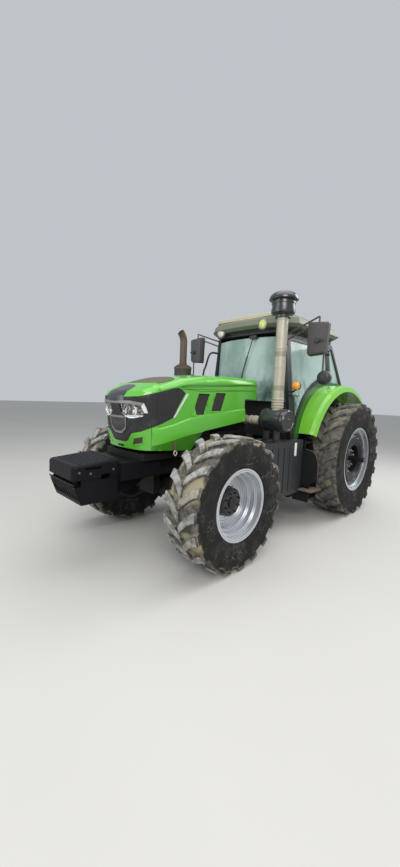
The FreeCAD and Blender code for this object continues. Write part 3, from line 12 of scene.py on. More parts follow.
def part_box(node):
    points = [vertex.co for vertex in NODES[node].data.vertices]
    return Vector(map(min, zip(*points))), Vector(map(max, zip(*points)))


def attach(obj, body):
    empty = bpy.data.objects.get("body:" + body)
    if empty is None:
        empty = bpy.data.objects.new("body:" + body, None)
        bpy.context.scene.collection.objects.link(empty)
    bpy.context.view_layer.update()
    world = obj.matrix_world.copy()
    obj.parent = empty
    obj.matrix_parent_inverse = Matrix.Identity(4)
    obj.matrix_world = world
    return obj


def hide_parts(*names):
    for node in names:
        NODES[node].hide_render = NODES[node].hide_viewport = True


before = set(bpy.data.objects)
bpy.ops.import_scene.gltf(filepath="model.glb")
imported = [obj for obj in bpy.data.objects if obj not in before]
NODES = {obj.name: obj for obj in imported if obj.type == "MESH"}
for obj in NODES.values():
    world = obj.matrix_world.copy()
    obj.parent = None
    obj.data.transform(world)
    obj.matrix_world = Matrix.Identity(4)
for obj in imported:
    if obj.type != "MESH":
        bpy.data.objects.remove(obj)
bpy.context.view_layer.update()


def middle(node):
    low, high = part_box(node)
    return (Vector(low) + Vector(high)) / 2


REAR = middle("tyre_rear_left").x
FRONT = middle("tyre_front_left").x
# Each tyre's radius, width and rim lip, then the height, width and number of its lugs.
TYRES = {"front": (0.705, 0.43, 0.381, 0.045, 0.09, 19), "rear": (0.895, 0.528, 0.508, 0.048, 0.102, 21)}
FRONT_RADIUS = TYRES["front"][0]
REAR_RADIUS = TYRES["rear"][0]
# Half of the distance between the middles of two wheels.
FRONT_TRACK = 0.975
REAR_TRACK = 0.985
# The arch that the rear fender and the cab's side share.
ARCH = (REAR + 0.05, 0.87)
FENDER_RADIUS = 1.19
BAND_RADIUS = 1.3
SIDES = (("left", 1), ("right", -1))

# Materials


class Look:
    """A material under construction: small helpers that add nodes and return sockets."""

    slots = {}

    def __init__(self, name, slot):
        self.material = bpy.data.materials.new(name)
        self.material.use_nodes = True
        self.slots[self.material.name] = slot
        self.tree = self.material.node_tree
        self.tree.nodes.clear()
        self.out = self.tree.nodes.new("ShaderNodeOutputMaterial")
        self.shader = self.tree.nodes.new("ShaderNodeBsdfPrincipled")
        self.put(self.out.inputs["Surface"], self.shader.outputs[0])
        self.place = self.made("ShaderNodeTexCoord", "Object", {})

    def put(self, socket, value):
        """Feeds a socket from another node, or gives it a number or a colour."""
        if isinstance(value, bpy.types.NodeSocket):
            self.tree.links.new(value, socket)
        elif isinstance(value, tuple) and len(value) == 3 and len(socket.default_value) == 4:
            socket.default_value = (*value, 1)
        else:
            socket.default_value = value

    def made(self, kind, output, inputs, **values):
        """Adds a node, fills its inputs and returns one of its outputs."""
        node = self.tree.nodes.new(kind)
        for key, value in values.items():
            setattr(node, key, value)
        for key, value in inputs.items():
            self.put(node.inputs[key], value)
        return node.outputs[output]

    def set(self, **values):
        for key, value in values.items():
            self.put(self.shader.inputs[key.replace("_", " ").title()], value)

    def shine(self, level):
        self.put(self.shader.inputs["Specular IOR Level"], level)

    def stretched(self, stretch):
        if not stretch:
            return self.place
        return self.made("ShaderNodeMapping", 0, {"Vector": self.place, "Scale": stretch})

    def noise(self, scale, detail=4, rough=0.6, stretch=None):
        inputs = {"Vector": self.stretched(stretch), "Scale": scale, "Detail": detail, "Roughness": rough}
        return self.made("ShaderNodeTexNoise", "Fac", inputs)

    def cells(self, scale, feature="F1", scatter=1.0):
        inputs = {"Vector": self.place, "Scale": scale, "Randomness": scatter}
        return self.made("ShaderNodeTexVoronoi", "Distance", inputs, feature=feature)

    def axis(self, letter):
        return self.made("ShaderNodeSeparateXYZ", letter, {0: self.place})

    def facing_up(self):
        normal = self.made("ShaderNodeNewGeometry", "Normal", {})
        return self.made("ShaderNodeSeparateXYZ", "Z", {0: normal})

    def radius(self, x=0.0, z=0.0):
        """Distance from an axis that runs along Y through a point."""
        across = self.maths("SUBTRACT", self.axis("X"), x)
        up = self.maths("SUBTRACT", self.axis("Z"), z)
        squares = self.plus(self.maths("POWER", across, 2.0), self.maths("POWER", up, 2.0))
        return self.maths("SQRT", squares)

    def remap(self, value, low, high, to_low=0.0, to_high=1.0):
        inputs = {"Value": value, "From Min": low, "From Max": high, "To Min": to_low, "To Max": to_high}
        return self.made("ShaderNodeMapRange", 0, inputs, interpolation_type="SMOOTHSTEP")

    def maths(self, operation, first, second=0.0):
        return self.made("ShaderNodeMath", 0, {0: first, 1: second}, operation=operation)

    def times(self, first, second):
        return self.maths("MULTIPLY", first, second)

    def plus(self, first, second):
        return self.maths("ADD", first, second)

    def mix(self, factor, first, second):
        return self.made("ShaderNodeMix", 2, {0: factor, 6: first, 7: second}, data_type="RGBA")

    def mix_number(self, factor, first, second):
        return self.made("ShaderNodeMix", 0, {0: factor, 2: first, 3: second}, data_type="FLOAT")

    def bump(self, height, distance, strength=1.0):
        inputs = {"Height": height, "Distance": distance, "Strength": strength}
        self.set(normal=self.made("ShaderNodeBump", 0, inputs))


DUST = (0.3, 0.28, 0.23)
CLAY = (0.31, 0.27, 0.175)


def weathered(look, tone, rough, metal=0.0, dust=0.2, splash=0.3, splash_top=1.0, coat=0.0, shine=0.5):
    """Finishes a look: dust in broad patches and on what faces up, and splashes low down."""
    broad = look.noise(2.2, 6, 0.65)
    fine = look.noise(26, 5, 0.7)
    low = look.times(look.remap(look.axis("Z"), splash_top, 0.2), splash)
    settled = look.times(look.remap(look.facing_up(), 0.3, 1.0), 0.18)
    spread = look.plus(look.plus(look.times(broad, dust), low), look.plus(settled, look.times(fine, 0.35)))
    cover = look.times(look.remap(spread, 0.45, 1.05), 0.8)
    look.set(base_color=look.mix(cover, tone, DUST))
    look.set(roughness=look.mix_number(cover, rough, 0.9), metallic=look.mix_number(cover, metal, 0.0))
    look.shine(shine)
    if coat:
        look.set(coat_weight=coat, coat_roughness=0.1)
    look.bump(look.plus(look.times(fine, 0.5), cover), 0.002, 0.4)
    return look.material


def worn(name, slot, colour, rough, **more):
    look = Look(name, slot)
    lighter = tuple(min(1.0, part * 1.08) for part in colour)
    return weathered(look, look.mix(look.noise(3.1, 4), colour, lighter), rough, **more)


def plain(name, slot, colour, rough, **more):
    look = Look(name, slot)
    look.set(base_color=colour, roughness=rough, **more)
    return look.material


def two_tone(name, slot, mask, first, second, rough, metals=(0.0, 0.0), **more):
    """A worn look whose colour changes where the mask, made by a function of the look, rises."""
    look = Look(name, slot)
    share = mask(look)
    metal = look.mix_number(share, *metals)
    return weathered(look, look.mix(share, first, second), rough, metal=metal, **more)


def rubber(name, end, clay_share, lug_tones):
    """Tyre rubber: grey dust on the lugs, clay between them, dry splashes on a black side wall."""
    wheel_radius, width, _, lug_height, *_ = TYRES[end]
    half_width = width / 2
    carcass = wheel_radius - lug_height
    look = Look(name, "tyre")
    radius = look.radius()
    side = look.maths("ABSOLUTE", look.axis("Y"))
    tread = look.times(
        look.remap(side, half_width, half_width * 0.93), look.remap(radius, carcass - 0.045, carcass - 0.02)
    )
    tread = look.maths("MAXIMUM", tread, look.remap(radius, carcass - 0.008, carcass + 0.004))
    top = look.remap(radius, wheel_radius - 0.024, wheel_radius - 0.013)
    bottom = look.remap(radius, carcass + 0.006, carcass + 0.001)
    lug = look.mix(look.remap(look.noise(11, 6, 0.75), 0.34, 0.62), *lug_tones)
    lug = look.mix(look.times(look.remap(look.noise(5, 5, 0.7), 0.5, 0.7), 0.55), lug, CLAY)
    flank = look.mix(look.remap(look.noise(14, 5, 0.7), 0.4, 0.65), (0.04, 0.039, 0.037), (0.2, 0.185, 0.15))
    dirt = look.plus(look.remap(look.noise(3.5, 3, 0.5), 0.4, 0.65), look.noise(22, 5, 0.7))
    base_tones = ((0.04, 0.038, 0.035), (0.19, 0.175, 0.145))
    base = look.mix(look.remap(look.noise(12, 6, 0.75), 0.3, 0.7), *base_tones)
    clay = look.mix(look.remap(dirt, 1.05 - clay_share, 1.75 - clay_share), base, CLAY)
    colour = look.mix(bottom, look.mix(top, flank, lug), clay)
    wall_tones = ((0.012, 0.012, 0.012), (0.045, 0.043, 0.04))
    wall = look.mix(look.remap(look.noise(6, 6, 0.7), 0.45, 0.75), *wall_tones)
    lines = look.remap(look.cells(15, "DISTANCE_TO_EDGE"), 0.03, 0.008)
    lines = look.times(lines, look.remap(look.noise(5, 4), 0.47, 0.62))
    wall = look.mix(look.times(lines, 0.45), wall, (0.28, 0.265, 0.24))
    look.set(base_color=look.mix(tread, wall, colour), roughness=0.85)
    look.shine(0.25)
    look.bump(look.plus(look.noise(38, 4), look.times(look.noise(110, 3), 0.5)), 0.005, 0.7)
    return look.material


def glass(name):
    """Green-tinted glass with a painted reflection of some of the sky's light in clouded patches, darker
    towards the bottom and in fine streaks low down.
    """
    look = Look(name, "glass")
    # Pale patches, the darker bottom and the streaks together make the painted reflection.
    cloud = look.remap(look.noise(1.5, 5, 0.6, (1, 1, 0.6)), 0.4, 0.6)
    fine = look.remap(look.noise(7, 4, 0.6, (1, 1, 0.35)), 0.45, 0.62)
    low = look.remap(look.axis("Z"), 2.25, 1.75)
    streaks = look.times(fine, look.times(low, 0.5))
    dark = look.maths("MAXIMUM", look.times(cloud, look.plus(low, 0.35)), streaks)
    tint = look.mix(look.maths("MINIMUM", dark, 1.0), (0.52, 0.68, 0.65), (0.13, 0.24, 0.2))
    look.set(base_color=tint, roughness=0.07)
    clear = look.made("ShaderNodeBsdfTransparent", 0, {0: (0.46, 0.62, 0.55)})
    share = look.plus(look.made("ShaderNodeFresnel", 0, {}), look.remap(dark, 0.0, 1.0, 0.66, 0.4))
    blend = look.made("ShaderNodeMixShader", 0, {0: share, 1: clear, 2: look.shader.outputs[0]})
    look.put(look.out.inputs["Surface"], blend)
    return look.material


def mesh_cover(name, colour, cell):
    """Punched mesh: dark round holes in rows, their near-black painted shade seen through them."""
    look = Look(name, "black_plastic")
    holes = look.remap(look.cells(1 / cell, scatter=0.0), 0.42, 0.3)
    # Near-black in the holes: painted shade.
    look.set(base_color=look.mix(holes, colour, (0.006, 0.006, 0.006)), roughness=0.5)
    look.bump(holes, -0.003)
    return look.material


def lamp_inside(name):
    """Bright reflector facets behind a clear cover: their pale and dark cells are painted glints."""
    look = Look(name, "lamp_glass")
    facets = look.cells(34)
    # Pale and dark cells in the base colour: painted glints.
    look.set(base_color=look.mix(look.remap(facets, 0.1, 0.6), (0.42, 0.41, 0.39), (0.07, 0.07, 0.07)))
    look.set(roughness=0.2, metallic=0.6, coat_weight=1.0)
    look.bump(facets, 0.01)
    return look.material


def rim_look(name, x, z, drum, shade_depth):
    """Silver rim with darker rings between its steps as painted shade, and a black drum.

    The axis runs through x and z. The silver starts outside the drum's radius, and at the shade depth
    from the tractor's middle; nearer the middle the rim's inner side is painted black as painted shade.
    """
    look = Look(name, "silver_paint")
    depth = look.maths("ABSOLUTE", look.axis("Y"))
    radius = look.radius(x, z)
    ring = look.maths("PINGPONG", look.plus(radius, depth), 0.0165)
    # Darker rings between the rim's steps: painted shade.
    line = look.times(look.remap(ring, 0.012, 0.015), 0.6)
    silver = look.mix(line, SILVER_COLOUR, (0.12, 0.13, 0.14))
    # Black inside the drum's radius is the drum's own colour; black on the rim's inner side, within the shade
    # depth, is painted shade.
    mask = look.times(look.remap(depth, shade_depth - 0.01, shade_depth), look.remap(radius, drum, drum + 0.004))
    metal = look.times(mask, 0.65)
    return weathered(look, look.mix(mask, BLACK_COLOUR, silver), 0.28, metal=metal, dust=0.12, splash=0.2)


def arch_shade_mask(look):
    """One on the band of the cab's side that follows the fender, where a dark green is painted shade."""
    return look.remap(look.radius(*ARCH), BAND_RADIUS, BAND_RADIUS - 0.004)


def fender_mask(look):
    """One outside the fender's shell, where it is green."""
    return look.remap(look.radius(*ARCH), FENDER_RADIUS - 0.118, FENDER_RADIUS - 0.112)


def pipe_mask(look):
    """One on the exhaust's pipe, above its silencer."""
    return look.remap(look.axis("Z"), 2.27, 2.3)


def roof_mask(look):
    """One under the roof's eave and on the header."""
    return look.remap(look.axis("Z"), 2.803, 2.797)


GREEN_COLOUR = (0.095, 0.405, 0.03)
BLACK_COLOUR = (0.01, 0.01, 0.011)
SILVER_COLOUR = (0.6, 0.63, 0.67)
GREEN = worn("green", "green_paint", GREEN_COLOUR, 0.24, dust=0.18, splash=0.12, coat=0.45)
# A darker copy of the green paint, for the bonnet's flare below its fold: painted shade.
SHADED_GREEN = worn("painted_shade_green", "green_paint", (0.052, 0.235, 0.018), 0.3, splash=0.2, coat=0.3)
BLACK = worn("black", "black_paint", BLACK_COLOUR, 0.38, splash=0.15, shine=0.35)
CHASSIS = worn("chassis", "dark_cast", (0.01, 0.0095, 0.009), 0.55, splash=0.2, shine=0.2)
STEEL = worn("steel", "steel", (0.42, 0.41, 0.4), 0.35, metal=0.8)
RUSTY = worn("rusty_steel", "steel", (0.14, 0.085, 0.055), 0.8, metal=0.2)
PLASTIC = worn("plastic", "black_plastic", (0.021, 0.021, 0.023), 0.45, splash=0.2)
GREY_PLASTIC = worn("mirror_plastic", "black_plastic", (0.062, 0.056, 0.054), 0.5)
TANK = worn("tank_plastic", "black_plastic", (0.026, 0.027, 0.03), 0.42, splash=0.1, shine=0.35)
GUARD = worn("guard", "black_plastic", (0.012, 0.013, 0.014), 0.4, shine=0.35)
CAB_BLACK = worn("cab_black", "black_paint", (0.01, 0.012, 0.011), 0.35, dust=0.15, shine=0.35)
HOOD_PANEL = worn("hood_panel", "black_plastic", (0.105, 0.088, 0.062), 0.6)
WEIGHT = worn("weight", "black_paint", (0.007, 0.007, 0.009), 0.45, dust=0.18, splash=0.06, shine=0.12)
CREAM = worn("cream", "white_paint", (0.56, 0.52, 0.36), 0.5)
WHITE = plain("white_label", "white_paint", (0.75, 0.75, 0.74), 0.5)
CHROME = plain("bright_trim", "silver_paint", (0.78, 0.8, 0.82), 0.25, metallic=0.35)
GREY_TRIM = plain("grey_trim", "silver_paint", (0.26, 0.26, 0.25), 0.35, metallic=0.4)
# Dark green strips: painted shade along the bonnet's creases and round the hood panel, dark joints along its
# seams.
SEAM_AND_CREASE_SHADE = plain("seam_and_crease_shade", "green_paint", (0.018, 0.085, 0.008), 0.5)
YELLOW_LENS = plain("yellow_lens", "lamp_glass", (0.55, 0.66, 0.2), 0.15, coat_weight=1.0)
SEAT = worn("seat_cloth", "seat_cover", (0.03, 0.03, 0.034), 0.9, dust=0.15, splash=0.0, shine=0.2)
ORANGE = plain("orange_lens", "lamp_glass", (0.82, 0.33, 0.02), 0.2, coat_weight=1.0)
RED = plain("red_lens", "lamp_glass", (0.45, 0.012, 0.01), 0.2, coat_weight=1.0)
LENS = plain("lamp_lens", "lamp_glass", (0.62, 0.62, 0.5), 0.12, coat_weight=1.0)
GLASS = glass("tinted_glass")
MESH = mesh_cover("mesh", (0.016, 0.015, 0.017), 0.013)
HONEYCOMB = mesh_cover("honeycomb", (0.05, 0.045, 0.043), 0.02)
VENT_MESH = mesh_cover("vent_mesh", (0.036, 0.029, 0.025), 0.013)
BROWN_MESH = mesh_cover("brown_mesh", (0.05, 0.04, 0.034), 0.013)
REFLECTOR = lamp_inside("reflector")
LUG_GREY = ((0.1, 0.1, 0.098), (0.37, 0.37, 0.36))
LUG_DARK = ((0.055, 0.054, 0.053), (0.16, 0.155, 0.15))
FRONT_RUBBER = rubber("front_rubber", "front", 0.35, LUG_GREY)
REAR_RUBBER = rubber("rear_rubber", "rear", 0.0, LUG_DARK)
# Each rim's last number is its shade depth: nearer the middle its inner side is painted black as painted
# shade.
FRONT_RIM = rim_look("front_rim", FRONT, FRONT_RADIUS, 0.16, 0.925)
REAR_RIM = rim_look("rear_rim", REAR, REAR_RADIUS, 0.232, 1.05)
# The fender's green is a lighter, yellower copy of the green paint: painted light on its top.
LIT_FENDER_GREEN = (0.17, 0.5, 0.03)
FENDER = two_tone("fender", "green_paint", fender_mask, BLACK_COLOUR, LIT_FENDER_GREEN, 0.26, dust=0.15, coat=0.4)
ROOF_TONES = ((0.15, 0.16, 0.115), (0.03, 0.032, 0.028))
ROOF = two_tone("roof_plastic", "green_paint", roof_mask, *ROOF_TONES, 0.5, dust=0.25)
# Black, and the dark green on the cab's side along the fender, which is painted shade.
CAB_BLACK_AND_SHADED_GREEN = ((0.01, 0.012, 0.011), (0.022, 0.105, 0.016))
CAB_SIDE = two_tone("cab_side", "black_paint", arch_shade_mask, *CAB_BLACK_AND_SHADED_GREEN, 0.35, dust=0.1, shine=0.35)
EXHAUST_TONES = ((0.048, 0.044, 0.041), (0.105, 0.07, 0.052))
EXHAUST = two_tone("exhaust_metal", "black_paint", pipe_mask, *EXHAUST_TONES, 0.6, (0.3, 0.2), dust=0.25)


def stack_look(name):
    """Pale metal with dark bands round it and streaks down it."""
    look = Look(name, "steel")
    band = look.times(look.remap(look.noise(1, 0, stretch=(0, 0, 7)), 0.57, 0.6), 0.5)
    streak = look.remap(look.noise(30, 4, 0.7, (1, 1, 0.06)), 0.5, 0.75)
    dark = look.maths("MINIMUM", look.plus(band, look.times(streak, 0.7)), 1.0)
    shade = look.mix(dark, (0.44, 0.41, 0.33), (0.15, 0.13, 0.09))
    return weathered(look, shade, 0.42, metal=0.25, dust=0.15)


STACK = stack_look("stack_metal")
GLOSS = (0.02, 0.021, 0.024)
GLOSS_BLACK = worn("gloss_black", "black_paint", GLOSS, 0.24, dust=0.12, splash=0.0, shine=0.8)

# What each CAD node wears: the longest of these starts that its name has decides.
LOOKS = {
    "rim_front": FRONT_RIM,
    "rim_rear": REAR_RIM,
    "tyre_front": FRONT_RUBBER,
    "tyre_rear": REAR_RUBBER,
    "wheel_weight": BLACK,
    "weight_carrier": WEIGHT,
    "front_weight": WEIGHT,
    "bonnet": GREEN,
    "grille": MESH,
    "headlamps": REFLECTOR,
    "cab": CAB_BLACK,
    "cab_sides": CAB_SIDE,
    "cab_glass": GLASS,
    "door": CAB_SIDE,
    "door_glass": GLASS,
    "roof": ROOF,
    "seat": SEAT,
    "air_cleaner": STACK,
    "exhaust": EXHAUST,
    "fenders": FENDER,
    "side_tanks": TANK,
    "mirrors": GREY_PLASTIC,
    "steps": BLACK,
}
RUNNING_GEAR = ("front_axle", "knuckle", "rear_axle_case", "gearbox", "drawbar", "lift_", "lower_links")
FRONT_END = ("front_frame", "engine_block", "radiator", "side_carrier", "bonnet_support")
LOOKS.update(dict.fromkeys(RUNNING_GEAR + FRONT_END, CHASSIS))
LOOKS.update(dict.fromkeys(("cab_floor", "cab_cowl", "steering_column"), PLASTIC))


def dress():
    """Gives each CAD node its look."""
    for name, thing in NODES.items():
        start = max((key for key in LOOKS if name.startswith(key)), key=len)
        thing.data.materials.clear()
        thing.data.materials.append(LOOKS[start])


# Building blocks


def piece(name, mesh, material, body, sharp=35, normals=None):
    """Makes an object of a mesh, which rides on a body."""
    work = bmesh.new()
    work.from_mesh(mesh)
    bmesh.ops.remove_doubles(work, verts=work.verts, dist=1e-5)
    bmesh.ops.dissolve_degenerate(work, edges=work.edges, dist=1e-6)
    bmesh.ops.recalc_face_normals(work, faces=work.faces)
    work.to_mesh(mesh)
    work.free()
    mesh.shade_smooth()
    mesh.set_sharp_from_angle(angle=math.radians(sharp))
    if normals and len(normals) == len(mesh.vertices):
        mesh.normals_split_custom_set_from_vertices(normals)
    mesh.materials.append(material)
    thing = bpy.data.objects.new(name, mesh)
    bpy.context.scene.collection.objects.link(thing)
    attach(thing, body)
    return thing


def new_mesh(name, points, faces):
    mesh = bpy.data.meshes.new(name)
    mesh.from_pydata([tuple(p) for p in points], [], faces)
    return mesh


AXIS_TURNS = {
    "X": Matrix.Rotation(math.radians(90), 3, "Y"),
    "Y": Matrix.Rotation(math.radians(-90), 3, "X"),
    "Z": Matrix.Identity(3),
}


def ring_faces(rows, count):
    """Quads between rows of points that run round."""
    faces = []
    for i in range(rows - 1):
        here = i * count
        there = here + count
        for j in range(count):
            k = (j + 1) % count
            faces.append((here + j, here + k, there + k, there + j))
    return faces


def turned(name, profile, centre, axis, material, body="chassis", sides=40):
    """A turned piece from (radius, along) points about an axis through a centre."""
    points = []
    for radius, along in profile:
        for i in range(sides):
            turn = 2 * math.pi * i / sides
            spot = Vector((radius * math.cos(turn), radius * math.sin(turn), along))
            points.append(Vector(centre) + AXIS_TURNS[axis] @ spot)
    return piece(name, new_mesh(name, points, ring_faces(len(profile), sides)), material, body)


def button(name, radius, length, centre, axis, material, body="chassis", sides=24):
    """A short round piece with a softened edge, its foot at the centre."""
    edge = 0.2 * min(radius, abs(length))
    top = math.copysign(abs(length) - edge, length)
    profile = [(0, 0), (radius, 0), (radius, top), (radius - edge, length), (0, length)]
    turned(name, profile, centre, axis, material, body, sides)


def band(name, inner, outer, half, edge, centre, axis, material, sides):
    """A ring round an axis, half as wide as given, its outer corners cut by the edge."""
    profile = [(inner, -half), (outer, edge - half), (outer, half - edge), (inner, half)]
    turned(name, profile, centre, axis, material, sides=sides)


def bevelled(mesh, offset, segments, profile):
    """Rounds all edges of a mesh."""
    work = bmesh.new()
    work.from_mesh(mesh)
    bmesh.ops.recalc_face_normals(work, faces=work.faces)
    edges = work.edges[:]
    bmesh.ops.bevel(work, geom=edges, offset=offset, segments=segments, affect="EDGES", profile=profile)
    work.to_mesh(mesh)
    work.free()


def prism_mesh(name, outline, low, high, stand):
    """A straight form between two levels: stand turns (a, b, level) into a point."""
    count = len(outline)
    points = [stand(a, b, level) for level in (low, high) for a, b in outline]
    faces = ring_faces(2, count) + [tuple(range(count)), tuple(range(count, 2 * count))]
    return new_mesh(name, points, faces)


STANDS = {
    "X": lambda a, b, level: (level, a, b),
    "Y": lambda a, b, level: (a, level, b),
    "Z": lambda a, b, level: (a, b, level),
}


def prism(name, outline, axis, low, high, material, body="chassis", bevel=0.0):
    """A straight piece from a flat outline: (x, z) points along Y, (y, z) along X, or (x, y) along Z."""
    mesh = prism_mesh(name, outline, low, high, STANDS[axis])
    if bevel:
        bevelled(mesh, bevel, 2, 0.6)
    return piece(name, mesh, material, body)


def span(side, near, far):
    """The Y range between two distances from the middle, on one side."""
    return sorted((side * near, side * far))


def block(name, x, y, z, material, body="chassis", bevel=0.004):
    """A box from its ranges along X, Y and Z."""
    corners = [(x[0], y[0]), (x[1], y[0]), (x[1], y[1]), (x[0], y[1])]
    return prism(name, corners, "Z", z[0], z[1], material, body, bevel)


def smooth_route(points):
    """A Catmull-Rom curve through the points."""
    steps = 6
    spots = [Vector(p) for p in points]
    spots = [2 * spots[0] - spots[1]] + spots + [2 * spots[-1] - spots[-2]]
    route = []
    for a, b, c, d in zip(spots, spots[1:], spots[2:], spots[3:]):
        for i in range(steps):
            t = i / steps
            bend = (2 * a - 5 * b + 4 * c - d) * t**2 + (3 * b - a - 3 * c + d) * t**3
            route.append(0.5 * (2 * b + (c - a) * t + bend))
    return route + [spots[-2]]


def tube(name, points, radius, material, body="chassis", sides=10, smooth=True):
    """A round bar along a route."""
    route = smooth_route(points) if smooth else [Vector(p) for p in points]
    normal = (route[1] - route[0]).orthogonal().normalized()
    rings = []
    for i, spot in enumerate(route):
        along = (route[min(i + 1, len(route) - 1)] - route[max(i - 1, 0)]).normalized()
        normal = (normal - along * normal.dot(along)).normalized()
        side = along.cross(normal)
        for j in range(sides):
            turn = 2 * math.pi * j / sides
            rings.append(spot + radius * (math.cos(turn) * normal + math.sin(turn) * side))
    faces = ring_faces(len(route), sides)
    faces.append(tuple(range(sides)))
    faces.append(tuple(range(len(rings) - sides, len(rings))))
    piece(name, new_mesh(name, rings, faces), material, body)


# Skins laid on the bonnet

BONNET_NODES = ("bonnet_shell", "bonnet_nose", "headlamps", "grille")
FILLER_DEPTH = 0.0093
NOSE_CENTRE = FRONT + 0.49
# Rays to the bonnet start this far from its middle, and a skin's grid has cells of this size.
RAY_START = 1.2
CELL = 0.03
SKIN_DEPTH = 0.002


def surface_of(names):
    """A search tree of the faces of some nodes, and the node that each face is from."""
    points = []
    faces = []
    owners = []
    for name in names:
        thing = NODES[name]
        start = len(points)
        points += [thing.matrix_world @ v.co for v in thing.data.vertices]
        for face in thing.data.polygons:
            faces.append([start + i for i in face.vertices])
            owners.append(name)
    return BVHTree.FromPolygons(points, faces), owners


SURFACE, OWNERS = surface_of(BONNET_NODES)
WEIGHT_SURFACE, _ = surface_of(["front_weight"])


def sent(start, along, reach=RAY_START - 0.01):
    """Where a ray meets the bonnet's outer skin, and the normal there. One that passes below is raised."""
    spot = None
    lift = 0.0
    most_lift = 0.1
    while spot is None and lift < most_lift:
        spot, normal, index, _ = SURFACE.ray_cast(start + Vector((0, 0, lift)), along, reach)
        lift += 0.004
    if spot is None:
        spot, normal, index, _ = SURFACE.find_nearest(start + along * 0.8)
    if OWNERS[index] in ("headlamps", "grille"):
        spot = spot - along * FILLER_DEPTH
    if normal.dot(along) > 0:
        normal = -normal
    return spot, normal


def soft(cast, a, b):
    """A point on the skin with a normal averaged over its surroundings."""
    spot, normal = cast(a, b)
    total = Vector(normal)
    for da, db in ((0.05, 0), (-0.05, 0), (0, 0.03), (0, -0.03)):
        total += cast(a + da, b + db)[1]
    return spot, total.normalized()


def around(u, z):
    """Round the nose and along the sides: u counts a quarter turn from the tip, then metres rearwards."""
    turn = math.radians(90 * u)
    out = Vector((math.cos(turn), math.sin(turn), 0))
    behind = 0
    if abs(u) > 1:
        out = Vector((0, math.copysign(1, u), 0))
        behind = abs(u) - 1
    return sent(Vector((NOSE_CENTRE - behind, 0, z)) + RAY_START * out, -out)


def from_above(x, y):
    """Straight down on the bonnet, x counted from the rear axle."""
    return sent(Vector((REAR + x, y, 3.1)), Vector((0, 0, -1)), 1.8)


def from_front(x, y):
    """Down at 45 degrees from the front, x where the ray passes a height of 1.8 m."""
    along = Vector((-1, 0, -1)).normalized()
    return sent(Vector((REAR + x, y, 1.8)) - along, along, 1.8)


def weight_front(y, z):
    """On the front weight's front face."""
    spot, normal, *_ = WEIGHT_SURFACE.ray_cast(Vector((FRONT + 3, y, z)), Vector((-1, 0, 0)))
    return spot, normal


def refined(loop):
    """The points of a closed flat line, with more between them so that none is further apart than a cell."""
    points = []
    for a, b in zip(loop, loop[1:] + loop[:1]):
        a, b = Vector(a), Vector(b)
        count = max(1, round((b - a).length / CELL))
        points += [a.lerp(b, i / count) for i in range(count)]
    return points


def inside(point, loop):
    """Whether a flat point lies within a closed line."""
    odd = False
    for a, b in zip(loop, loop[1:] + loop[:1]):
        if (a[1] > point[1]) != (b[1] > point[1]):
            if point[0] < (b[0] - a[0]) * (point[1] - a[1]) / (b[1] - a[1]) + a[0]:
                odd = not odd
    return odd


def laid(name, hits, proud, faces, material, body, normals=None):
    """A thin closed piece on a surface: its top stands proud of it, its under side lies just below it."""
    top = [spot + normal * proud for spot, normal in hits]
    under = [spot - normal * SKIN_DEPTH for spot, normal in hits]
    piece(name, thick(name, top, under, faces), material, body, 50, normals)


def skin(name, outline, cast, proud, material, holes=()):
    """A thin skin on the bonnet: a flat outline filled with a grid and sent onto the surface."""
    loops = [refined(list(loop)) for loop in (outline, *holes)]

    def within(spot):
        return inside(spot, loops[0]) and not any(inside(spot, loop) for loop in loops[1:])

    points = []
    edges = []
    for loop in loops:
        start = len(points)
        points += loop
        edges += [(start + i, start + (i + 1) % len(loop)) for i in range(len(loop))]
    border = list(points)
    low = [min(p[i] for p in loops[0]) for i in (0, 1)]
    high = [max(p[i] for p in loops[0]) for i in (0, 1)]
    for i in range(1, int((high[0] - low[0]) / CELL) + 1):
        for j in range(1, int((high[1] - low[1]) / CELL) + 1):
            spot = Vector((low[0] + i * CELL, low[1] + j * CELL))
            if within(spot) and min((spot - p).length for p in border) > 0.4 * CELL:
                points.append(spot)
    flat, _, faces, *_ = geometry.delaunay_2d_cdt(points, edges, [], 0, 1e-6)
    kept = []
    for face in faces:
        centre = sum((flat[i] for i in face), Vector((0, 0))) / len(face)
        if within(centre):
            kept.append(list(face))
    hits = [soft(cast, *p) for p in flat]
    normals = [normal for _, normal in hits] + [Vector()] * len(hits)
    laid(name, hits, proud, kept, material, "bonnet", normals)


def thick(name, top, bottom, faces):
    """A closed mesh from two layers of points that share their faces."""
    count = len(top)
    uses = {}
    for face in faces:
        for a, b in zip(face, face[1:] + face[:1]):
            key = (min(a, b), max(a, b))
            uses.setdefault(key, []).append((a, b))
    walls = [(b, a, a + count, b + count) for pairs in uses.values() if len(pairs) == 1 for a, b in pairs]
    under = [tuple(i + count for i in reversed(face)) for face in faces]
    return new_mesh(name, top + bottom, [tuple(face) for face in faces] + under + walls)


def ribbon(name, line, width, cast, proud, material, closed=False, body="bonnet"):
    """A narrow strip on the bonnet along a line of its flat coordinates."""
    spots = refined(line) if closed else refined(line + [line[-1]]) + [Vector(line[-1])]
    rows = []
    for i, spot in enumerate(spots):
        ahead = spots[(i + 1) % len(spots)] if closed else spots[min(i + 1, len(spots) - 1)]
        behind = spots[i - 1] if closed else spots[max(i - 1, 0)]
        along = ahead - behind
        if along.length < 1e-6:
            continue
        side = Vector((-along.y, along.x)).normalized() * width / 2
        rows.append((spot + side, spot - side))
    faces = []
    for i in range(len(rows) if closed else len(rows) - 1):
        j = (i + 1) % len(rows)
        faces.append([2 * i, 2 * i + 1, 2 * j + 1, 2 * j])
    laid(name, [cast(*p) for row in rows for p in row], proud, faces, material, body)


def mirrored_line(half):
    """A line from one side of the bonnet, carried on to the other side."""
    return half + [(-a, b) for a, b in reversed(half)]


def both_ways(half):
    """The same for a line seen from above or from the front."""
    return half + [(a, -b) for a, b in reversed(half)]


def other_side(side, points):
    return [(side * a, b) for a, b in points]


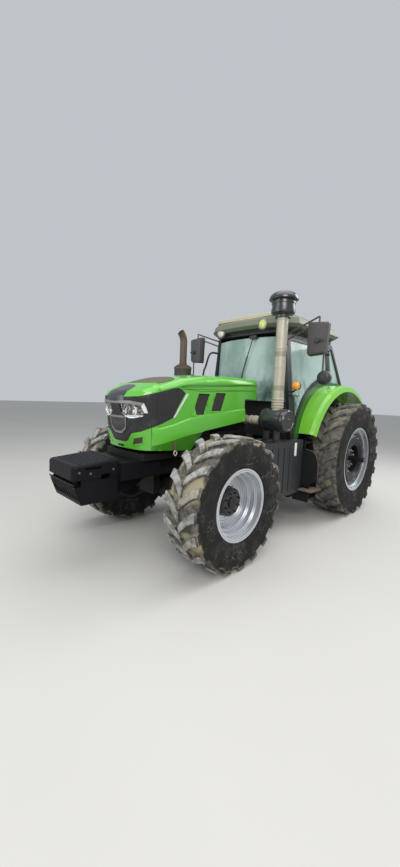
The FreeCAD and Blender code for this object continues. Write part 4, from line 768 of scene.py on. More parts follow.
FACE = [(0.322, 1.76), (0.634, 1.77), (0.842, 1.8), (1.016, 1.832), (1.148, 1.866), (1.225, 1.88)]
FACE += [(1.289, 1.853), (1.331, 1.822), (1.241, 1.686), (1.161, 1.552), (1.028, 1.497), (0.857, 1.452)]
FACE += [(0.686, 1.407), (0.51, 1.382), (0.445, 1.345), (0.385, 1.3), (0.29, 1.282)]
LAMP = [(0.19, 1.688), (0.735, 1.688), (0.78, 1.612), (0.72, 1.572), (0.56, 1.55), (0.44, 1.55)]
LAMP += [(0.333, 1.562), (0.2, 1.592)]
LAMP_BROW = [(0.0, 1.714), (0.473, 1.724), (0.634, 1.711), (0.723, 1.702), (0.756, 1.662), (0.792, 1.604)]
LAMP_BROW += [(0.742, 1.602), (0.706, 1.64), (0.685, 1.672), (0.62, 1.684), (0.473, 1.692), (0.0, 1.69)]
SHIELD_MESH = [(0.345, 1.545), (0.325, 1.434), (0.165, 1.388)]
SHIELD_EDGE = mirrored_line([(0.355, 1.55), (0.335, 1.43), (0.17, 1.38)])
CHIN_VENT = [(0.561, 1.335), (0.735, 1.362), (0.741, 1.28), (0.53, 1.252)]
SLASH = [(1.35, 1.816), (1.259, 1.685), (1.17, 1.552), (1.186, 1.552), (1.281, 1.684), (1.377, 1.817)]
BROW = [(3.785, 0.06), (3.76, 0.165), (3.65, 0.16), (3.551, 0.148), (3.41, 0.112), (3.385, 0.06)]
HOOD = [(3.37, 0.18), (3.355, 0.29), (3.315, 0.34), (3.19, 0.345), (3.12, 0.31), (3.09, 0.21)]
CREASE = [(1.24, 1.884), (1.377, 1.91), (1.49, 1.92), (1.86, 1.94), (2.395, 1.966), (2.655, 1.972)]
PANEL_EDGE = [(1.26, 1.868), (1.379, 1.866), (1.563, 1.852), (1.869, 1.862), (2.401, 1.89), (2.64, 1.897)]
SEAM_LINE = [(0.857, 1.448), (0.866, 1.33), (0.873, 1.214)]


def nose_face():
    """The black face of the nose, with its lamps, shield, vents and trim."""
    lamps = [other_side(side, LAMP) for side in (1, -1)]
    outline = [(0, 1.745)] + FACE + [(0, 1.28)] + mirrored_line(FACE)[len(FACE) :]
    skin("nose_face", outline, around, 0.003, MESH, lamps)
    skin("shield_mesh", mirrored_line(SHIELD_MESH), around, 0.005, HONEYCOMB)
    skin("lamp_brow", mirrored_line(LAMP_BROW), around, 0.01, GREY_TRIM)
    ribbon("shield_edge", SHIELD_EDGE, 0.022, around, 0.009, GREY_TRIM)
    skin("nose_slot", [(-0.17, 1.222), (0.17, 1.222), (0.17, 1.246), (-0.17, 1.246)], around, 0.002, BLACK)
    for name, side in SIDES:
        vent_line = other_side(side, CHIN_VENT)
        skin("chin_vent_" + name, vent_line, around, 0.002, BROWN_MESH)
        ribbon("chin_vent_edge_" + name, vent_line, 0.016, around, 0.007, GREEN, closed=True)
        skin("slash_" + name, other_side(side, SLASH), around, 0.008, CHROME)
        ribbon("lamp_lip_" + name, other_side(side, LAMP[3:7]), 0.012, around, 0.008, CHROME)
        skin("lamp_end_" + name, other_side(side, LAMP_BROW[3:9]), around, 0.014, CHROME)
        for count, (u, z, radius) in enumerate(((0.275, 1.616, 0.047), (0.52, 1.617, 0.056))):
            lamp_bowl(f"lamp_bowl_{name}_{count}", side * u, z, radius)


def lamp_bowl(name, u, z, radius):
    """A round lamp that looks forward, set in the headlamp's opening."""
    spot, _ = around(u, z)
    centre = (spot.x - 0.028, spot.y, z)
    bowl = [(radius, 0), (radius, 0.016), (radius * 0.88, 0.02), (radius * 0.8, 0.006), (0, 0.002)]
    turned(name, bowl, centre, "X", CHROME, "bonnet", 32)
    lens = [(radius * 0.55, 0.002), (radius * 0.42, 0.016), (0, 0.022)]
    turned(name + "_lens", lens, centre, "X", LENS, "bonnet", 24)


def bonnet_panels():
    """Dark cap and hood panel, dark green strips along the creases and round the hood panel as painted shade,
    dark joints along the seams, and vent covers.
    """
    skin("nose_cap", both_ways(BROW), from_front, 0.006, GLOSS_BLACK)
    skin("hood_panel", both_ways(HOOD), from_above, 0.003, HOOD_PANEL)
    # The dark green strips round the hood panel and along the creases are painted shade; those on the seams
    # are dark joints.
    ribbon("hood_panel_edge", both_ways(HOOD), 0.01, from_above, 0.004, SEAM_AND_CREASE_SHADE, closed=True)
    for name, side in SIDES:
        ribbon("crease_" + name, other_side(side, CREASE), 0.008, around, 0.0012, SEAM_AND_CREASE_SHADE)
        ribbon("panel_edge_" + name, other_side(side, PANEL_EDGE), 0.005, around, 0.0012, SEAM_AND_CREASE_SHADE)
        ribbon("seam_" + name, other_side(side, SEAM_LINE), 0.008, around, 0.0015, SEAM_AND_CREASE_SHADE)
        flare("flare_" + name, side)
        # start and bottom from the front axle, then length, slant and rise
        for count, (start, low, length, slant, rise) in enumerate(
            ((-0.141, 1.58, 0.186, 0.092, 0.247), (-0.447, 1.623, 0.184, 0.076, 0.222))
        ):
            vent(f"vent_{name}_{count}", side, FRONT + start, low, length, slant, rise)


def vent(name, side, x, z, length, slant, rise):
    """A mesh cover behind a side vent, and a raised frame round it."""

    def corners(lap):
        wide = length + lap
        high = rise + lap
        upper = [(x + wide - slant, z + high), (x - slant - lap, z + high)]
        return [(x - lap, z - lap), (x + wide, z - lap)] + upper

    prism(name, corners(0.012), "Y", *span(side, 0.42, 0.429), VENT_MESH, "bonnet")
    outer, inner = ([(side * (1 + NOSE_CENTRE - a), b) for a, b in corners(lap)] for lap in (0.012, 0))
    skin(name + "_frame", outer, around, 0.004, GREEN, [inner])


# Stations of the flare: place round the nose, heights of crease, fold and lower edge, and the fold's reach.
FLARE = (
    (0.866, 1.446, 1.262, 1.21, 0.01),
    (0.94, 1.448, 1.27, 1.208, 0.018),
    (1.03, 1.452, 1.286, 1.204, 0.026),
    (1.18, 1.484, 1.318, 1.195, 0.034),
    (1.34, 1.53, 1.352, 1.183, 0.038),
    (1.435, 1.553, 1.366, 1.177, 0.038),
    (1.5, 1.563, 1.374, 1.243, 0.036),
    (1.59, 1.574, 1.383, 1.336, 0.032),
    (1.64, 1.579, 1.397, 1.387, 0.03),
    (1.89, 1.605, 1.428, 1.418, 0.027),
    (2.1, 1.627, 1.455, 1.445, 0.024),
    (2.41, 1.661, 1.494, 1.484, 0.02),
)


def flare(name, side):
    """The lower side of the bonnet, which swells out under its crease and tucks in below the fold, where a
    darker green is painted shade.
    """
    swell = []
    tuck = []
    for u, crease, fold, edge, reach in FLARE:
        upper = crease + 0.35 * (fold - crease)
        levels = [(crease, 0.001), (crease - 0.012, 0.5 * reach), (upper, 0.85 * reach)]
        levels += [(fold, reach), (edge, 0.002)]
        row = []
        for z, out in levels:
            spot, normal = soft(around, side * u, z)
            normal = Vector((normal.x, normal.y, 0)).normalized()
            row.append((spot + normal * out, spot - normal * 0.002))
        swell.append(row[:4])
        tuck.append(row[3:])
    strip(name, swell, GREEN)
    # Below the fold the darker green is painted shade.
    strip(name + "_tuck", tuck, SHADED_GREEN)


def strip(name, rows, material):
    """A thin closed piece from rows of outer and inner points."""
    count = len(rows[0])
    outer, inner = ([pair[i] for row in rows for pair in row] for i in (0, 1))
    faces = []
    for i in range(len(rows) - 1):
        for j in range(count - 1):
            a = count * i + j
            faces.append([a, a + 1, a + count + 1, a + count])
    piece(name, thick(name, outer, inner, faces), material, "bonnet", 25)


# Wheels

# Side wall of a tyre: share of its height from the rim, share of the half width.
WALL = [(-0.02, 0.86), (0.02, 0.915), (0.05, 0.935), (0.07, 0.925), (0.1, 0.948), (0.13, 0.942)]
WALL += [(0.25, 0.975), (0.42, 0.999), (0.6, 1.0), (0.75, 0.998), (0.84, 0.985), (0.91, 0.955)]
WALL += [(0.96, 0.89), (0.985, 0.78), (1.0, 0.4)]
LUG_STATIONS = (0.0, 0.1, 0.25, 0.42, 0.6, 0.78, 0.9, 1.0)


def lug_section(tip, carcass, half, width, share):
    """Points across a tread lug, at a share of its way from the middle to the shoulder."""
    out = half * (0.02 + 0.955 * share)
    along = 0.38 * half * (1 - 2 * (1 - (1 - share) ** 1.5))
    wide = width * (0.82 + 0.22 * share)
    top = tip - 0.009 * share**2
    base = carcass - 0.01 - 0.05 * share**3
    shape = mirrored_line([(-0.68, base), (-0.54, top - 0.008), (-0.45, top)])
    return [(along + part * wide, level, out) for part, level in shape]


def shoulder(line, carcass, half):
    """The two rows of points with which a lug turns over the shoulder and falls to the side wall."""
    turn = [(along, min(level, max(level - 0.012, carcass)), half * 0.988) for along, level, _ in line]
    foot = [(along, carcass - 0.075 + 0.3 * (level - carcass), half * 0.997) for along, level, _ in line]
    return [turn, foot]


def tyre(name, end, side, material):
    """A tyre with a smooth round carcass and two rows of curved lugs."""
    radius, width, lip, lug_height, lug_width, count = TYRES[end]
    carcass = radius - lug_height
    half = width / 2
    flank = [(lip + share * (carcass - lip), part * half) for share, part in WALL]
    profile = flank + [(r, -y) for r, y in reversed(flank)]
    sides = 96
    points = []
    for r, y in profile:
        for i in range(sides):
            turn = 2 * math.pi * i / sides
            points.append(Vector((r * math.cos(turn), y, r * math.sin(turn))))
    faces = ring_faces(len(profile), sides)
    seeded = random.Random(len(name))
    for row, hand in enumerate((1, -1)):
        for i in range(count):
            turn = 2 * math.pi * (i + row / 2) / count
            wear = seeded.uniform(-0.003, 0.0)
            start = len(points)
            rows = [lug_section(radius + wear, carcass, half, lug_width, s) for s in LUG_STATIONS]
            rows += shoulder(rows[-1], carcass, half)
            for line in rows:
                for along, level, out in line:
                    angle = turn + along / radius
                    points.append(Vector((level * math.sin(angle), hand * out, level * math.cos(angle))))
            faces += lug_faces(start, len(rows), 6)
    for point in points:
        point.y *= side
    hand = "left" if side > 0 else "right"
    thing = piece(name, new_mesh(name, points, faces), material, f"wheel_{end}_{hand}", 30)
    thing.location = middle(f"tyre_{end}_{hand}")
    thing.location.z = radius
    return thing


def lug_faces(start, rows, count):
    """Quads along a lug's open rows of points, and its two ends."""
    faces = []
    for i in range(rows - 1):
        for j in range(count - 1):
            a = start + i * count + j
            faces.append((a, a + 1, a + count + 1, a + count))
    faces.append(tuple(start + j for j in range(count)))
    faces.append(tuple(start + (rows - 1) * count + j for j in range(count)))
    return faces


def bolt_ring(name, count, ring, centre, side, radius, material, body):
    """Bolt heads on a circle about a wheel's axis, as one piece."""
    points = []
    faces = []
    for i in range(count):
        turn = 2 * math.pi * (i + 0.5) / count
        spot = Vector(centre) + Vector((ring * math.cos(turn), 0, ring * math.sin(turn)))
        start = len(points)
        for reach, wide in ((0.0, 1.25), (0.006, 1.25), (0.0061, 1.0), (0.022, 1.0), (0.024, 0.8)):
            for j in range(6):
                angle = math.pi / 3 * j + turn
                out = Vector((wide * radius * math.cos(angle), side * reach, wide * radius * math.sin(angle)))
                points.append(spot + out)
        faces += [tuple(start + k for k in face) for face in ring_faces(5, 6)]
        faces.append(tuple(start + 24 + j for j in range(6)))
    piece(name, new_mesh(name, points, faces), material, body)


def wheels():
    """The four tyres, and the bolts on the hubs and the wheel weights."""
    for name, side in SIDES:
        body = "wheel_front_" + name
        thing = tyre("front_tyre_" + name, "front", side, FRONT_RUBBER)
        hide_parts("tyre_front_" + name)
        disc = (FRONT, side * (FRONT_TRACK - 0.034), FRONT_RADIUS)
        cover = (FRONT, side * (FRONT_TRACK + 0.0705), FRONT_RADIUS)
        bolt_ring("hub_bolts_" + name, 10, 0.172, disc, side, 0.011, STEEL, body)
        bolt_ring("hub_cover_bolts_" + name, 8, 0.105, cover, side, 0.008, BLACK, body)
        button("hub_cap_" + name, 0.06, side * 0.012, cover, "Y", BLACK, body)
        body = "wheel_rear_" + name
        thing = tyre("rear_tyre_" + name, "rear", side, REAR_RUBBER)
        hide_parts("tyre_rear_" + name)
        hub = (REAR, side * (REAR_TRACK + 0.1105), REAR_RADIUS)
        weight = (REAR, side * (REAR_TRACK + 0.2005), REAR_RADIUS)
        bolt_ring("hub_bolts_rear_" + name, 10, 0.135, hub, side, 0.013, STEEL, body)
        bolt_ring("weight_bolts_" + name, 6, 0.33, weight, side, 0.012, STEEL, body)


# Cab, lamps and equipment


def box_lamp(kind, name, x, y, z, bevel, inset, proud, lens):
    """A lamp box that looks back, with its lens a little smaller than its face."""
    block(f"{kind}_lamp_{name}", x, y, z, PLASTIC, bevel=bevel)
    face = [(low + inset, high - inset) for low, high in (y, z)]
    block(f"{kind}_lens_{name}", (x[0] - proud, x[0] + 0.001), *face, lens)


def roof_lamps():
    """Round work lamps and a pale board at the front of the roof, and square lamps behind."""
    ring = [(0.0, -0.03), (0.06, -0.03), (0.076, 0.0), (0.079, 0.03), (0.064, 0.036)]
    dome = [(0.066, 0.028), (0.048, 0.038), (0, 0.043)]
    lamps = ((1.548, 0.357, 2.842, YELLOW_LENS), (1.515, -0.452, 2.805, LENS))
    for count, (x, y, z, lens) in enumerate(lamps):
        centre = (REAR + x, y, z)
        turned(f"roof_lamp_{count}", ring, centre, "X", GREY_TRIM, sides=28)
        turned(f"roof_lens_{count}", dome, centre, "X", lens, sides=28)
    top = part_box("roof")[1][2]
    x = (REAR + 1.358, REAR + 1.474)
    for count in range(3):
        low = top - 0.046 + 0.0165 * count
        block(f"roof_slat_{count}", x, (-0.583, 0.583), (low, low + 0.0145), CREAM, bevel=0.003)
    x = (REAR - 0.112, REAR - 0.054)
    for name, side in SIDES:
        box_lamp("rear_work", name, x, span(side, 0.46, 0.58), (2.832, 2.892), 0.008, 0.01, 0.006, LENS)


def marker_lamps():
    """Orange lamps on stalks from the front pillars, and lamp boxes behind on the fenders."""
    cup = [(0, -0.058), (0.04, -0.052), (0.06, -0.03), (0.064, 0.0), (0.06, 0.004)]
    dome = [(0.06, 0.002), (0.057, 0.018), (0.044, 0.034), (0.024, 0.043), (0, 0.046)]
    for name, side in SIDES:
        centre = Vector((REAR + 1.425, side * 0.855, 1.99))
        stalk = ((-0.045, side * -0.15, -0.075), (-0.03, side * -0.05, -0.075), (-0.02, 0, -0.03))
        tube("marker_stalk_" + name, [centre + Vector(way) for way in stalk], 0.012, PLASTIC)
        turned("marker_cup_" + name, cup, centre, "X", PLASTIC, sides=28)
        turned("marker_lens_" + name, dome, centre, "X", ORANGE, sides=28)
        x = (REAR - 0.86, REAR - 0.775)
        box_lamp("tail", name, x, span(side, 0.8, 0.93), (1.705, 1.785), 0.006, 0.008, 0.007, RED)


def mirror_backs():
    """The knob and the clamp that hold each door mirror to its arm."""
    x = REAR + 1.46
    for name, side in SIDES:
        button("mirror_knob_" + name, 0.034, 0.032, (x, side * 1.135, 2.56), "X", PLASTIC)
        y = span(side, 1.118, 1.215)
        block("mirror_clamp_" + name, (x, x + 0.022), y, (2.548, 2.574), PLASTIC, bevel=0.005)


def round_mirrors():
    """Black domed backs of the round mirrors."""
    dome = [(0.086, -0.004), (0.088, 0.004), (0.082, 0.018), (0.064, 0.032), (0.034, 0.04), (0, 0.042)]
    for name, side in SIDES:
        turned("round_mirror_" + name, dome, (REAR + 1.42, side * 1.23, 2.095), "X", PLASTIC, sides=32)


def mirror_covers():
    """Rounded covers on the backs of the door mirrors."""
    outline = [(1.01, 2.392), (1.196, 2.405), (1.215, 2.42), (1.232, 2.76), (1.218, 2.78), (1.004, 2.8)]
    outline += [(0.988, 2.786), (0.994, 2.41)]
    x = (REAR + 1.438, REAR + 1.462)
    for name, side in SIDES:
        prism("mirror_cover_" + name, other_side(side, outline), "X", *x, GREY_PLASTIC, bevel=0.01)


def wipers():
    """A wiper on the windscreen, with its motor box at the top."""
    x = REAR + 1.512
    block("wiper_box", (x - 0.02, x + 0.045), (0.12, 0.24), (2.66, 2.705), PLASTIC, bevel=0.008)
    arm = [(x + 0.03, 0.18, 2.68), (x + 0.022, 0.1, 2.45), (x + 0.018, 0.02, 2.2)]
    tube("wiper_arm", arm, 0.006, PLASTIC)
    blade = [(x + 0.01, 0.07, 2.42), (x + 0.01, 0.01, 2.2), (x + 0.01, -0.04, 1.98)]
    tube("wiper_blade", blade, 0.007, PLASTIC)


def leaning_y(z, out=0.0):
    """Outer Y of the cab's left side at a height, and a reach beyond it."""
    return 0.785 - (z - 1.355) * math.tan(math.radians(6.6)) + out


def door_furniture():
    """Handles on the doors, grab rails on the pillars before them, and a tall rail on the right."""
    z = 1.86
    y = leaning_y(z, 0.012)
    handle = ((1.16, y - 0.012), (1.17, y + 0.03), (1.28, y + 0.03), (1.29, y - 0.012))
    grip = ((1.5, 0.0), (1.53, 0.055), (1.75, 0.06), (1.85, 0.055), (1.87, 0.0))
    for name, side in SIDES:
        route = [(REAR + x, side * out, z) for x, out in handle]
        tube("door_handle_" + name, route, 0.009, PLASTIC, "door_" + name)
        route = [(REAR + 1.362, side * leaning_y(height, out), height) for height, out in grip]
        tube("grab_rail_" + name, route, 0.011, PLASTIC)
    rail = [(1.362, -0.638, 2.52), (1.49, -0.715, 2.508), (1.502, -0.8, 2.3), (1.502, -0.845, 2.2)]
    rail += [(1.502, -0.88, 1.9), (1.49, -0.86, 1.62), (1.362, -0.742, 1.6)]
    tube("side_rail", [(REAR + x, y, z) for x, y, z in rail], 0.016, PLASTIC)


def air_cleaner():
    """Canister with its clamps, the weathered stack, the domed pre-cleaner and the pipe to the engine."""
    x = REAR + 1.77
    can_z = 1.525
    stack_y = 0.8
    done = []
    can = [(0, 0.605), (0.118, 0.605), (0.138, 0.612), (0.147, 0.635), (0.147, 0.955), (0.14, 0.978)]
    can += [(0.128, 0.988), (0.112, 0.988), (0.106, 0.98), (0.03, 0.98), (0.024, 0.985), (0, 0.985)]
    done.append(turned("canister", can, (x, 0, can_z), "Y", GLOSS_BLACK, sides=48))
    for count, y in enumerate((0.655, 0.915)):
        band(f"canister_clamp_{count}", 0.1465, 0.152, 0.013, 0.002, (x, y, can_z), "Y", PLASTIC, 48)
    pipe_x = x + 0.06
    pipe_z = 1.5104
    pipe = [(0.05, 0.282), (0.05, 0.33), (0.053, 0.334), (0.053, 0.6), (0.05, 0.612)]
    done.append(turned("intake_pipe", pipe, (pipe_x, 0, pipe_z), "Y", STACK, sides=32))
    for count, y in enumerate((0.345, 0.445, 0.5, 0.53, 0.585)):
        band(f"pipe_clamp_{count}", 0.0525, 0.06, 0.012, 0.005, (pipe_x, y, pipe_z), "Y", STACK, 32)
    stack = [(0.0, 1.64), (0.073, 1.64)]
    for z in (1.695, 1.73, 1.765, 1.8):
        stack += [(0.073, z - 0.012), (0.08, z - 0.006), (0.08, z + 0.006), (0.073, z + 0.012)]
    for z in (2.2, 2.425, 2.44, 2.795):
        stack += [(0.072, z - 0.006), (0.076, z - 0.003), (0.076, z + 0.003), (0.072, z + 0.006)]
    stack += [(0.071, 2.83)]
    done.append(turned("stack", stack, (x, stack_y, 0), "Z", STACK, sides=36))
    head = [(0.071, 2.82), (0.095, 2.822), (0.097, 2.85), (0.125, 2.862), (0.147, 2.88), (0.15, 2.905)]
    head += [(0.15, 2.925), (0.143, 2.93), (0.143, 2.985), (0.15, 2.99), (0.15, 3.012), (0.14, 3.018)]
    head += [(0.14, 3.03), (0.172, 3.033), (0.182, 3.04), (0.182, 3.052), (0.178, 3.07), (0.166, 3.092)]
    head += [(0.145, 3.112), (0.115, 3.127), (0.08, 3.136), (0.04, 3.1395), (0, 3.14)]
    done.append(turned("pre_cleaner", head, (x, stack_y, 0), "Z", GLOSS_BLACK, sides=48))
    foot_x = (x - 0.06, x + 0.06)
    for count, y in enumerate((0.64, 0.8)):
        done.append(block(f"canister_foot_{count}", foot_x, (y, y + 0.03), (1.235, 1.4), PLASTIC))
    for thing in done:
        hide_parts("air_cleaner")


def exhaust_bands():
    """Rusty bands at the silencer's foot and shoulder, and one round the pipe."""
    for count, (z, radius) in enumerate(((1.45, 0.1255), (2.2, 0.1255), (2.268, 0.0525))):
        centre = (REAR + 2.213, -0.572, z)
        band(f"exhaust_band_{count}", radius, radius + 0.006, 0.012, 0.002, centre, "Z", RUSTY, 36)


def tank_fittings():
    """Ribs, straps and filler caps of the side tanks, a blank label, and the steps' guards and plates."""
    strap = [(0.505, 1.2435), (0.86, 1.2435), (0.86, 1.25), (0.505, 1.25)]
    for name, side in SIDES:
        for count, x in enumerate((1.5, 1.64, 1.78, 1.92)):
            wide = (REAR + x, REAR + x + 0.05)
            y = span(side, 0.9005, 0.908)
            block(f"tank_rib_{name}_{count}", wide, y, (0.56, 1.17), TANK, bevel=0.003)
        for count, x in enumerate((1.3, 1.72)):
            wide = (REAR + x, REAR + x + 0.045)
            prism(f"tank_strap_{name}_{count}", other_side(side, strap), "X", *wide, RUSTY)
        button("tank_cap_" + name, 0.05, 0.035, (REAR + 2.02, side * 0.7, 1.2435), "Z", PLASTIC, sides=28)
    block("tank_label", (REAR + 1.375, REAR + 1.43), (0.9005, 0.9025), (1.035, 1.215), WHITE, bevel=0.0005)
    guard = [(0.88, 0.58), (0.88, 1.108), (0.93, 1.108), (1.022, 1.099), (1.066, 1.068), (1.096, 1.015)]
    guard += [(1.12, 0.94), (1.127, 0.86), (1.127, 0.706), (1.0, 0.594)]
    wide = (REAR + 1.1605, REAR + 1.1665)
    plate = (REAR + 0.985, REAR + 1.3)
    for name, side in SIDES:
        prism("step_guard_" + name, other_side(side, guard), "X", *wide, GUARD)
        route = [(REAR + 1.166, side * y, z) for y, z in guard[2:9]]
        tube("guard_edge_" + name, route, 0.006, GREY_PLASTIC, sides=8)
        block("step_plate_" + name, plate, span(side, 0.905, 1.12), (0.535, 0.55), RUSTY)


def engine_dressing():
    """Filters and rods that show under the bonnet, and the steering cylinder behind the front axle."""
    for name, side in SIDES:
        for count, x in enumerate((2.18, 2.34)):
            top = (REAR + x, side * 0.345, 1.34)
            button(f"filter_{name}_{count}", 0.055, -0.21, top, "Z", CHASSIS, sides=28)
        rail = (REAR + 1.95, REAR + 2.44)
        block("engine_rail_" + name, rail, span(side, 0.27, 0.36), (1.33, 1.36), CHASSIS)
        end = (REAR + 3.045, REAR + 3.07)
        y = side * 0.385
        for count, z in enumerate((1.118, 1.15)):
            route = [(REAR + 2.7, y, z), (REAR + 3.06, y, z)]
            tube(f"side_rod_{name}_{count}", route, 0.01, STEEL, smooth=False)
            ends = (z - 0.013, z + 0.013)
            block(f"rod_end_{name}_{count}", end, span(side, 0.366, 0.397), ends, CHASSIS, bevel=0.003)
        route = [(FRONT - 0.155, side * 0.16, FRONT_RADIUS), (FRONT - 0.155, side * 0.505, FRONT_RADIUS)]
        tube("steering_rod_" + name, route, 0.022, STEEL, smooth=False)
    barrel = [(0, -0.2), (0.042, -0.2), (0.042, 0.2), (0, 0.2)]
    turned("steering_cylinder", barrel, (FRONT - 0.2, 0, FRONT_RADIUS), "Y", CHASSIS, sides=28)


def ballast_details():
    """Bolts, ribs and tread plate of the front weight."""
    x = FRONT + 0.9
    for name, side in SIDES:
        for count, (along, z) in enumerate(((0.06, 1.045), (0.3, 1.03), (0.41, 1.05))):
            spot = (x + along, side * 0.2972, z)
            button(f"weight_bolt_{name}_{count}", 0.011, side * 0.01, spot, "Y", RUSTY, sides=12)
    for count in range(11):
        y = -0.26 + 0.052 * count
        line = [(y, 0.765), (y, 0.95)]
        ribbon(f"weight_rib_{count}", line, 0.014, weight_front, 0.005, WEIGHT, body="chassis")
    spots = []
    for count in range(9):
        start = x + 0.045 + count * 0.042
        drop = 0.04 * (start - x + 0.01) / 0.47
        for row in range(12):
            y = -0.235 + row * 0.0427 + (0.02 if count % 2 else 0)
            if y < 0.24:
                spots.append((start, y, 1.15 - drop))
    knobs("tread_plate", spots)


def knobs(name, spots):
    """Low raised knobs on the front weight's top, as one piece."""
    points = []
    faces = []
    for x, y, z in spots:
        start = len(points)
        for level, size in ((-0.002, 0.015), (0.004, 0.01)):
            for dx, dy in ((1, 0), (0, 1), (-1, 0), (0, -1)):
                points.append(Vector((x + dx * size, y + dy * size, z + level)))
        faces += [tuple(start + k for k in face) for face in ring_faces(2, 4)]
        faces.append((start + 4, start + 5, start + 6, start + 7))
        faces.append((start, start + 1, start + 2, start + 3))
    piece(name, new_mesh(name, points, faces), WEIGHT, "chassis")


def bonnet_latch():
    """A catch and its ring at the bonnet's lower edge, on both sides."""
    x = REAR + 3.215
    loop = [(0, 0.474, 1.2), (0.022, 0.478, 1.175), (0, 0.48, 1.145), (-0.022, 0.478, 1.175)]
    loop.append(loop[0])
    for name, side in SIDES:
        y = span(side, 0.462, 0.476)
        block("latch_" + name, (x - 0.012, x + 0.012), y, (1.19, 1.3), RUSTY, "bonnet")
        route = [(x + along, side * out, z) for along, out, z in loop]
        tube("latch_ring_" + name, route, 0.005, CREAM, "bonnet")


PAD_INSET = 0.012
PAD_CAP = 0.014
PAD_VOXEL = 0.009
PAD_PRESSURE = 4
PAD_FRAMES = 20
SEAM_DEPTH = 0.007
SEAM_WIDTH = 0.008
DEEPEST_SEAM = 0.009


def applied(thing):
    """A new mesh of an object with its modifiers applied."""
    return bpy.data.meshes.new_from_object(thing.evaluated_get(bpy.context.evaluated_depsgraph_get()))


def swollen(mesh):
    """The mesh as a pad: remeshed evenly, then blown up by a short cloth simulation, no point far."""
    thing = bpy.data.objects.new("pad_form", mesh)
    bpy.context.scene.collection.objects.link(thing)
    remesh = thing.modifiers.new("remesh", "REMESH")
    remesh.mode = "VOXEL"
    remesh.voxel_size = PAD_VOXEL
    even = applied(thing)
    thing.modifiers.clear()
    thing.data = even
    cloth = thing.modifiers.new("cloth", "CLOTH")
    cloth.settings.use_pressure = True
    cloth.settings.uniform_pressure_force = PAD_PRESSURE
    cloth.settings.effector_weights.gravity = 0
    for count in range(1, PAD_FRAMES + 1):
        bpy.context.scene.frame_set(count)
    blown = applied(thing)
    for old, new in zip(even.vertices, blown.vertices):
        way = new.co - old.co
        new.co = old.co + way * min(1.0, PAD_CAP / max(way.length, 1e-6))
    even = blown
    bpy.context.scene.frame_set(1)
    bpy.data.objects.remove(thing)
    return even


def sewn(mesh, seams):
    """Presses sewn channels into a pad: each seam is a distance from a point of the mesh."""
    normals = [v.normal.copy() for v in mesh.vertices]
    for vertex, normal in zip(mesh.vertices, normals):
        depth = sum(SEAM_DEPTH * math.exp(-((seam(vertex.co) / SEAM_WIDTH) ** 2)) for seam in seams)
        vertex.co -= normal * min(depth, DEEPEST_SEAM)
    return mesh


def pad(name, outline, half, seams):
    """A seat cushion from its side outline and half width, sewn in channels."""
    mesh = prism_mesh(name + "_form", outline, -half + PAD_INSET, half - PAD_INSET, STANDS["Y"])
    bevelled(mesh, 0.026, 3, 0.5)
    thing = piece(name, sewn(swollen(mesh), seams), SEAT, "chassis", 180)
    thing.modifiers.new("fine", "SUBSURF").levels = 1
    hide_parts("seat")


def seat():
    """Driver's seat: two cushions sewn in channels, a hinge between them and a pedestal."""
    low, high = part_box("seat")
    x = REAR + 0.48
    top = low[2] + 0.46
    stand = block("seat_stand", (x - 0.125, x + 0.15), (-0.16, 0.16), (low[2], top - 0.125), PLASTIC)
    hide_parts("seat")
    half = 0.25
    rear = x - half
    hinge_z = (top - 0.09, top + 0.06)
    hinge = block("seat_hinge", (low[0] + 0.03, rear + 0.045), (-0.09, 0.09), hinge_z, PLASTIC)
    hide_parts("seat")
    inset = PAD_INSET
    base = top - 0.13
    flat = [(rear + inset, base), (x + half - inset, base), (x + half - inset, top - inset)]
    flat += [(rear + inset, top - inset)]
    seam_y = (-0.12, 0.12)
    across = [lambda co, y=y: max(abs(co.y - y), 10 * max(0, top - 0.05 - co.z)) for y in seam_y]
    sides = [lambda co: 10 * max(0, abs(co.y) - 0.12), lambda co: 10 * max(0, top - 0.05 - co.z)]
    across.append(lambda co: max(abs(co.x - x), *(far(co) for far in sides)))
    pad("seat_cushion", flat, half, across)
    thick_back = (rear - low[0]) / 0.7
    shoulder_z = top + 0.8 * (high[2] - top)
    back = [
        (rear + inset, top + 0.004),
        (rear + thick_back - inset, top + 0.004),
        (rear + 0.4 * thick_back - inset, shoulder_z),
        (rear - inset, high[2] - inset),
        (low[0] + inset, high[2] - inset),
        (low[0] + inset, shoulder_z),
    ]
    upright = [lambda co, y=y: max(abs(co.y - y), 10 * max(0, low[0] + 0.05 - co.x)) for y in seam_y]
    upright.append(lambda co: max(abs(co.z - shoulder_z), 10 * max(0, low[0] + 0.05 - co.x)))
    pad("seat_back", back, 0.24, upright)


# Camera, floor and light


PHOTO_HEIGHT = 867
SENSOR = 36
FOCAL_PIXELS = 335.4
EYE = (5.566 + REAR, 3.2, 1.783)
CAMERA_TURNS = (225.06, -5.88, 2.26)


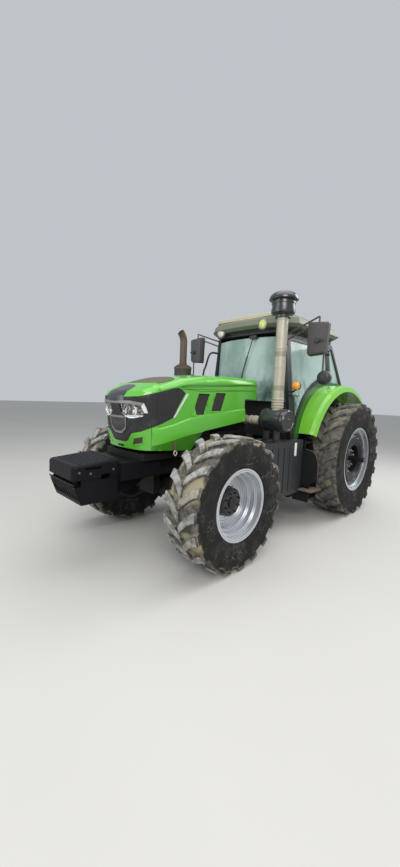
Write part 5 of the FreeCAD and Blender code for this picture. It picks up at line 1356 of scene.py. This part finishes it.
def camera():
    """The photograph's camera: yaw, pitch and roll in degrees, as fitted to the wheels in it."""
    yaw, pitch, roll = (math.radians(a) for a in CAMERA_TURNS)
    look = Vector((math.cos(yaw) * math.cos(pitch), math.sin(yaw) * math.cos(pitch), math.sin(pitch)))
    right = look.cross(Vector((0, 0, 1))).normalized()
    up = right.cross(look)
    right, up = right * math.cos(roll) + up * math.sin(roll), up * math.cos(roll) - right * math.sin(roll)
    data = bpy.data.cameras.new("Camera")
    data.sensor_fit = "AUTO"
    data.sensor_width = SENSOR
    data.lens = FOCAL_PIXELS * SENSOR / PHOTO_HEIGHT
    data.shift_y = -1.5 / PHOTO_HEIGHT
    data.clip_end = 200
    eye = bpy.data.objects.new("Camera", data)
    bpy.context.scene.collection.objects.link(eye)
    turn = Matrix((right, up, -look)).transposed().to_4x4()
    eye.matrix_world = Matrix.Translation(EYE) @ turn
    bpy.context.scene.camera = eye


def lamp(name, place, aim, energy, size, colour=(1, 1, 1)):
    """A soft square lamp that points at a place."""
    data = bpy.data.lights.new(name, "AREA")
    data.energy = energy
    data.size = size
    data.color = colour
    thing = bpy.data.objects.new(name, data)
    thing.location = place
    thing.rotation_euler = (Vector(aim) - Vector(place)).to_track_quat("-Z", "Y").to_euler()
    bpy.context.scene.collection.objects.link(thing)


def studio():
    """A pale floor, a pale sky and four soft lamps."""
    bpy.ops.mesh.primitive_plane_add(size=120, location=(0, 0, 0))
    floor = bpy.context.object
    floor.name = "floor"
    look = Look("floor", None)
    tone = look.noise(0.4, 4)
    look.set(base_color=look.mix(tone, (0.5, 0.49, 0.46), (0.55, 0.54, 0.51)), roughness=0.9)
    floor.data.materials.append(look.material)
    world = bpy.data.worlds.new("World")
    world.use_nodes = True
    back = world.node_tree.nodes["Background"]
    back.inputs["Color"].default_value = (0.84, 0.89, 0.95, 1)
    back.inputs["Strength"].default_value = 0.62
    bpy.context.scene.world = world
    lamp("top", (0.5, 1.5, 9.0), (0.3, 0.3, 0), 500, 9, (1.0, 0.99, 0.97))
    lamp("key", (7.0, 6.5, 6.5), (0.3, 0, 1.2), 520, 5, (1.0, 0.97, 0.92))
    lamp("fill", (8.0, -3.0, 3.5), (0.5, 0, 1.2), 160, 5, (0.92, 0.96, 1.0))
    lamp("back", (-6.0, 3.0, 6.0), (0, 0, 1.5), 250, 4)


dress()
wheels()
nose_face()
bonnet_panels()
roof_lamps()
marker_lamps()
mirror_backs()
mirror_covers()
round_mirrors()
wipers()
door_furniture()
air_cleaner()
exhaust_bands()
tank_fittings()
engine_dressing()
ballast_details()
bonnet_latch()
seat()
camera()
studio()
bpy.context.scene.view_settings.view_transform = "Standard"
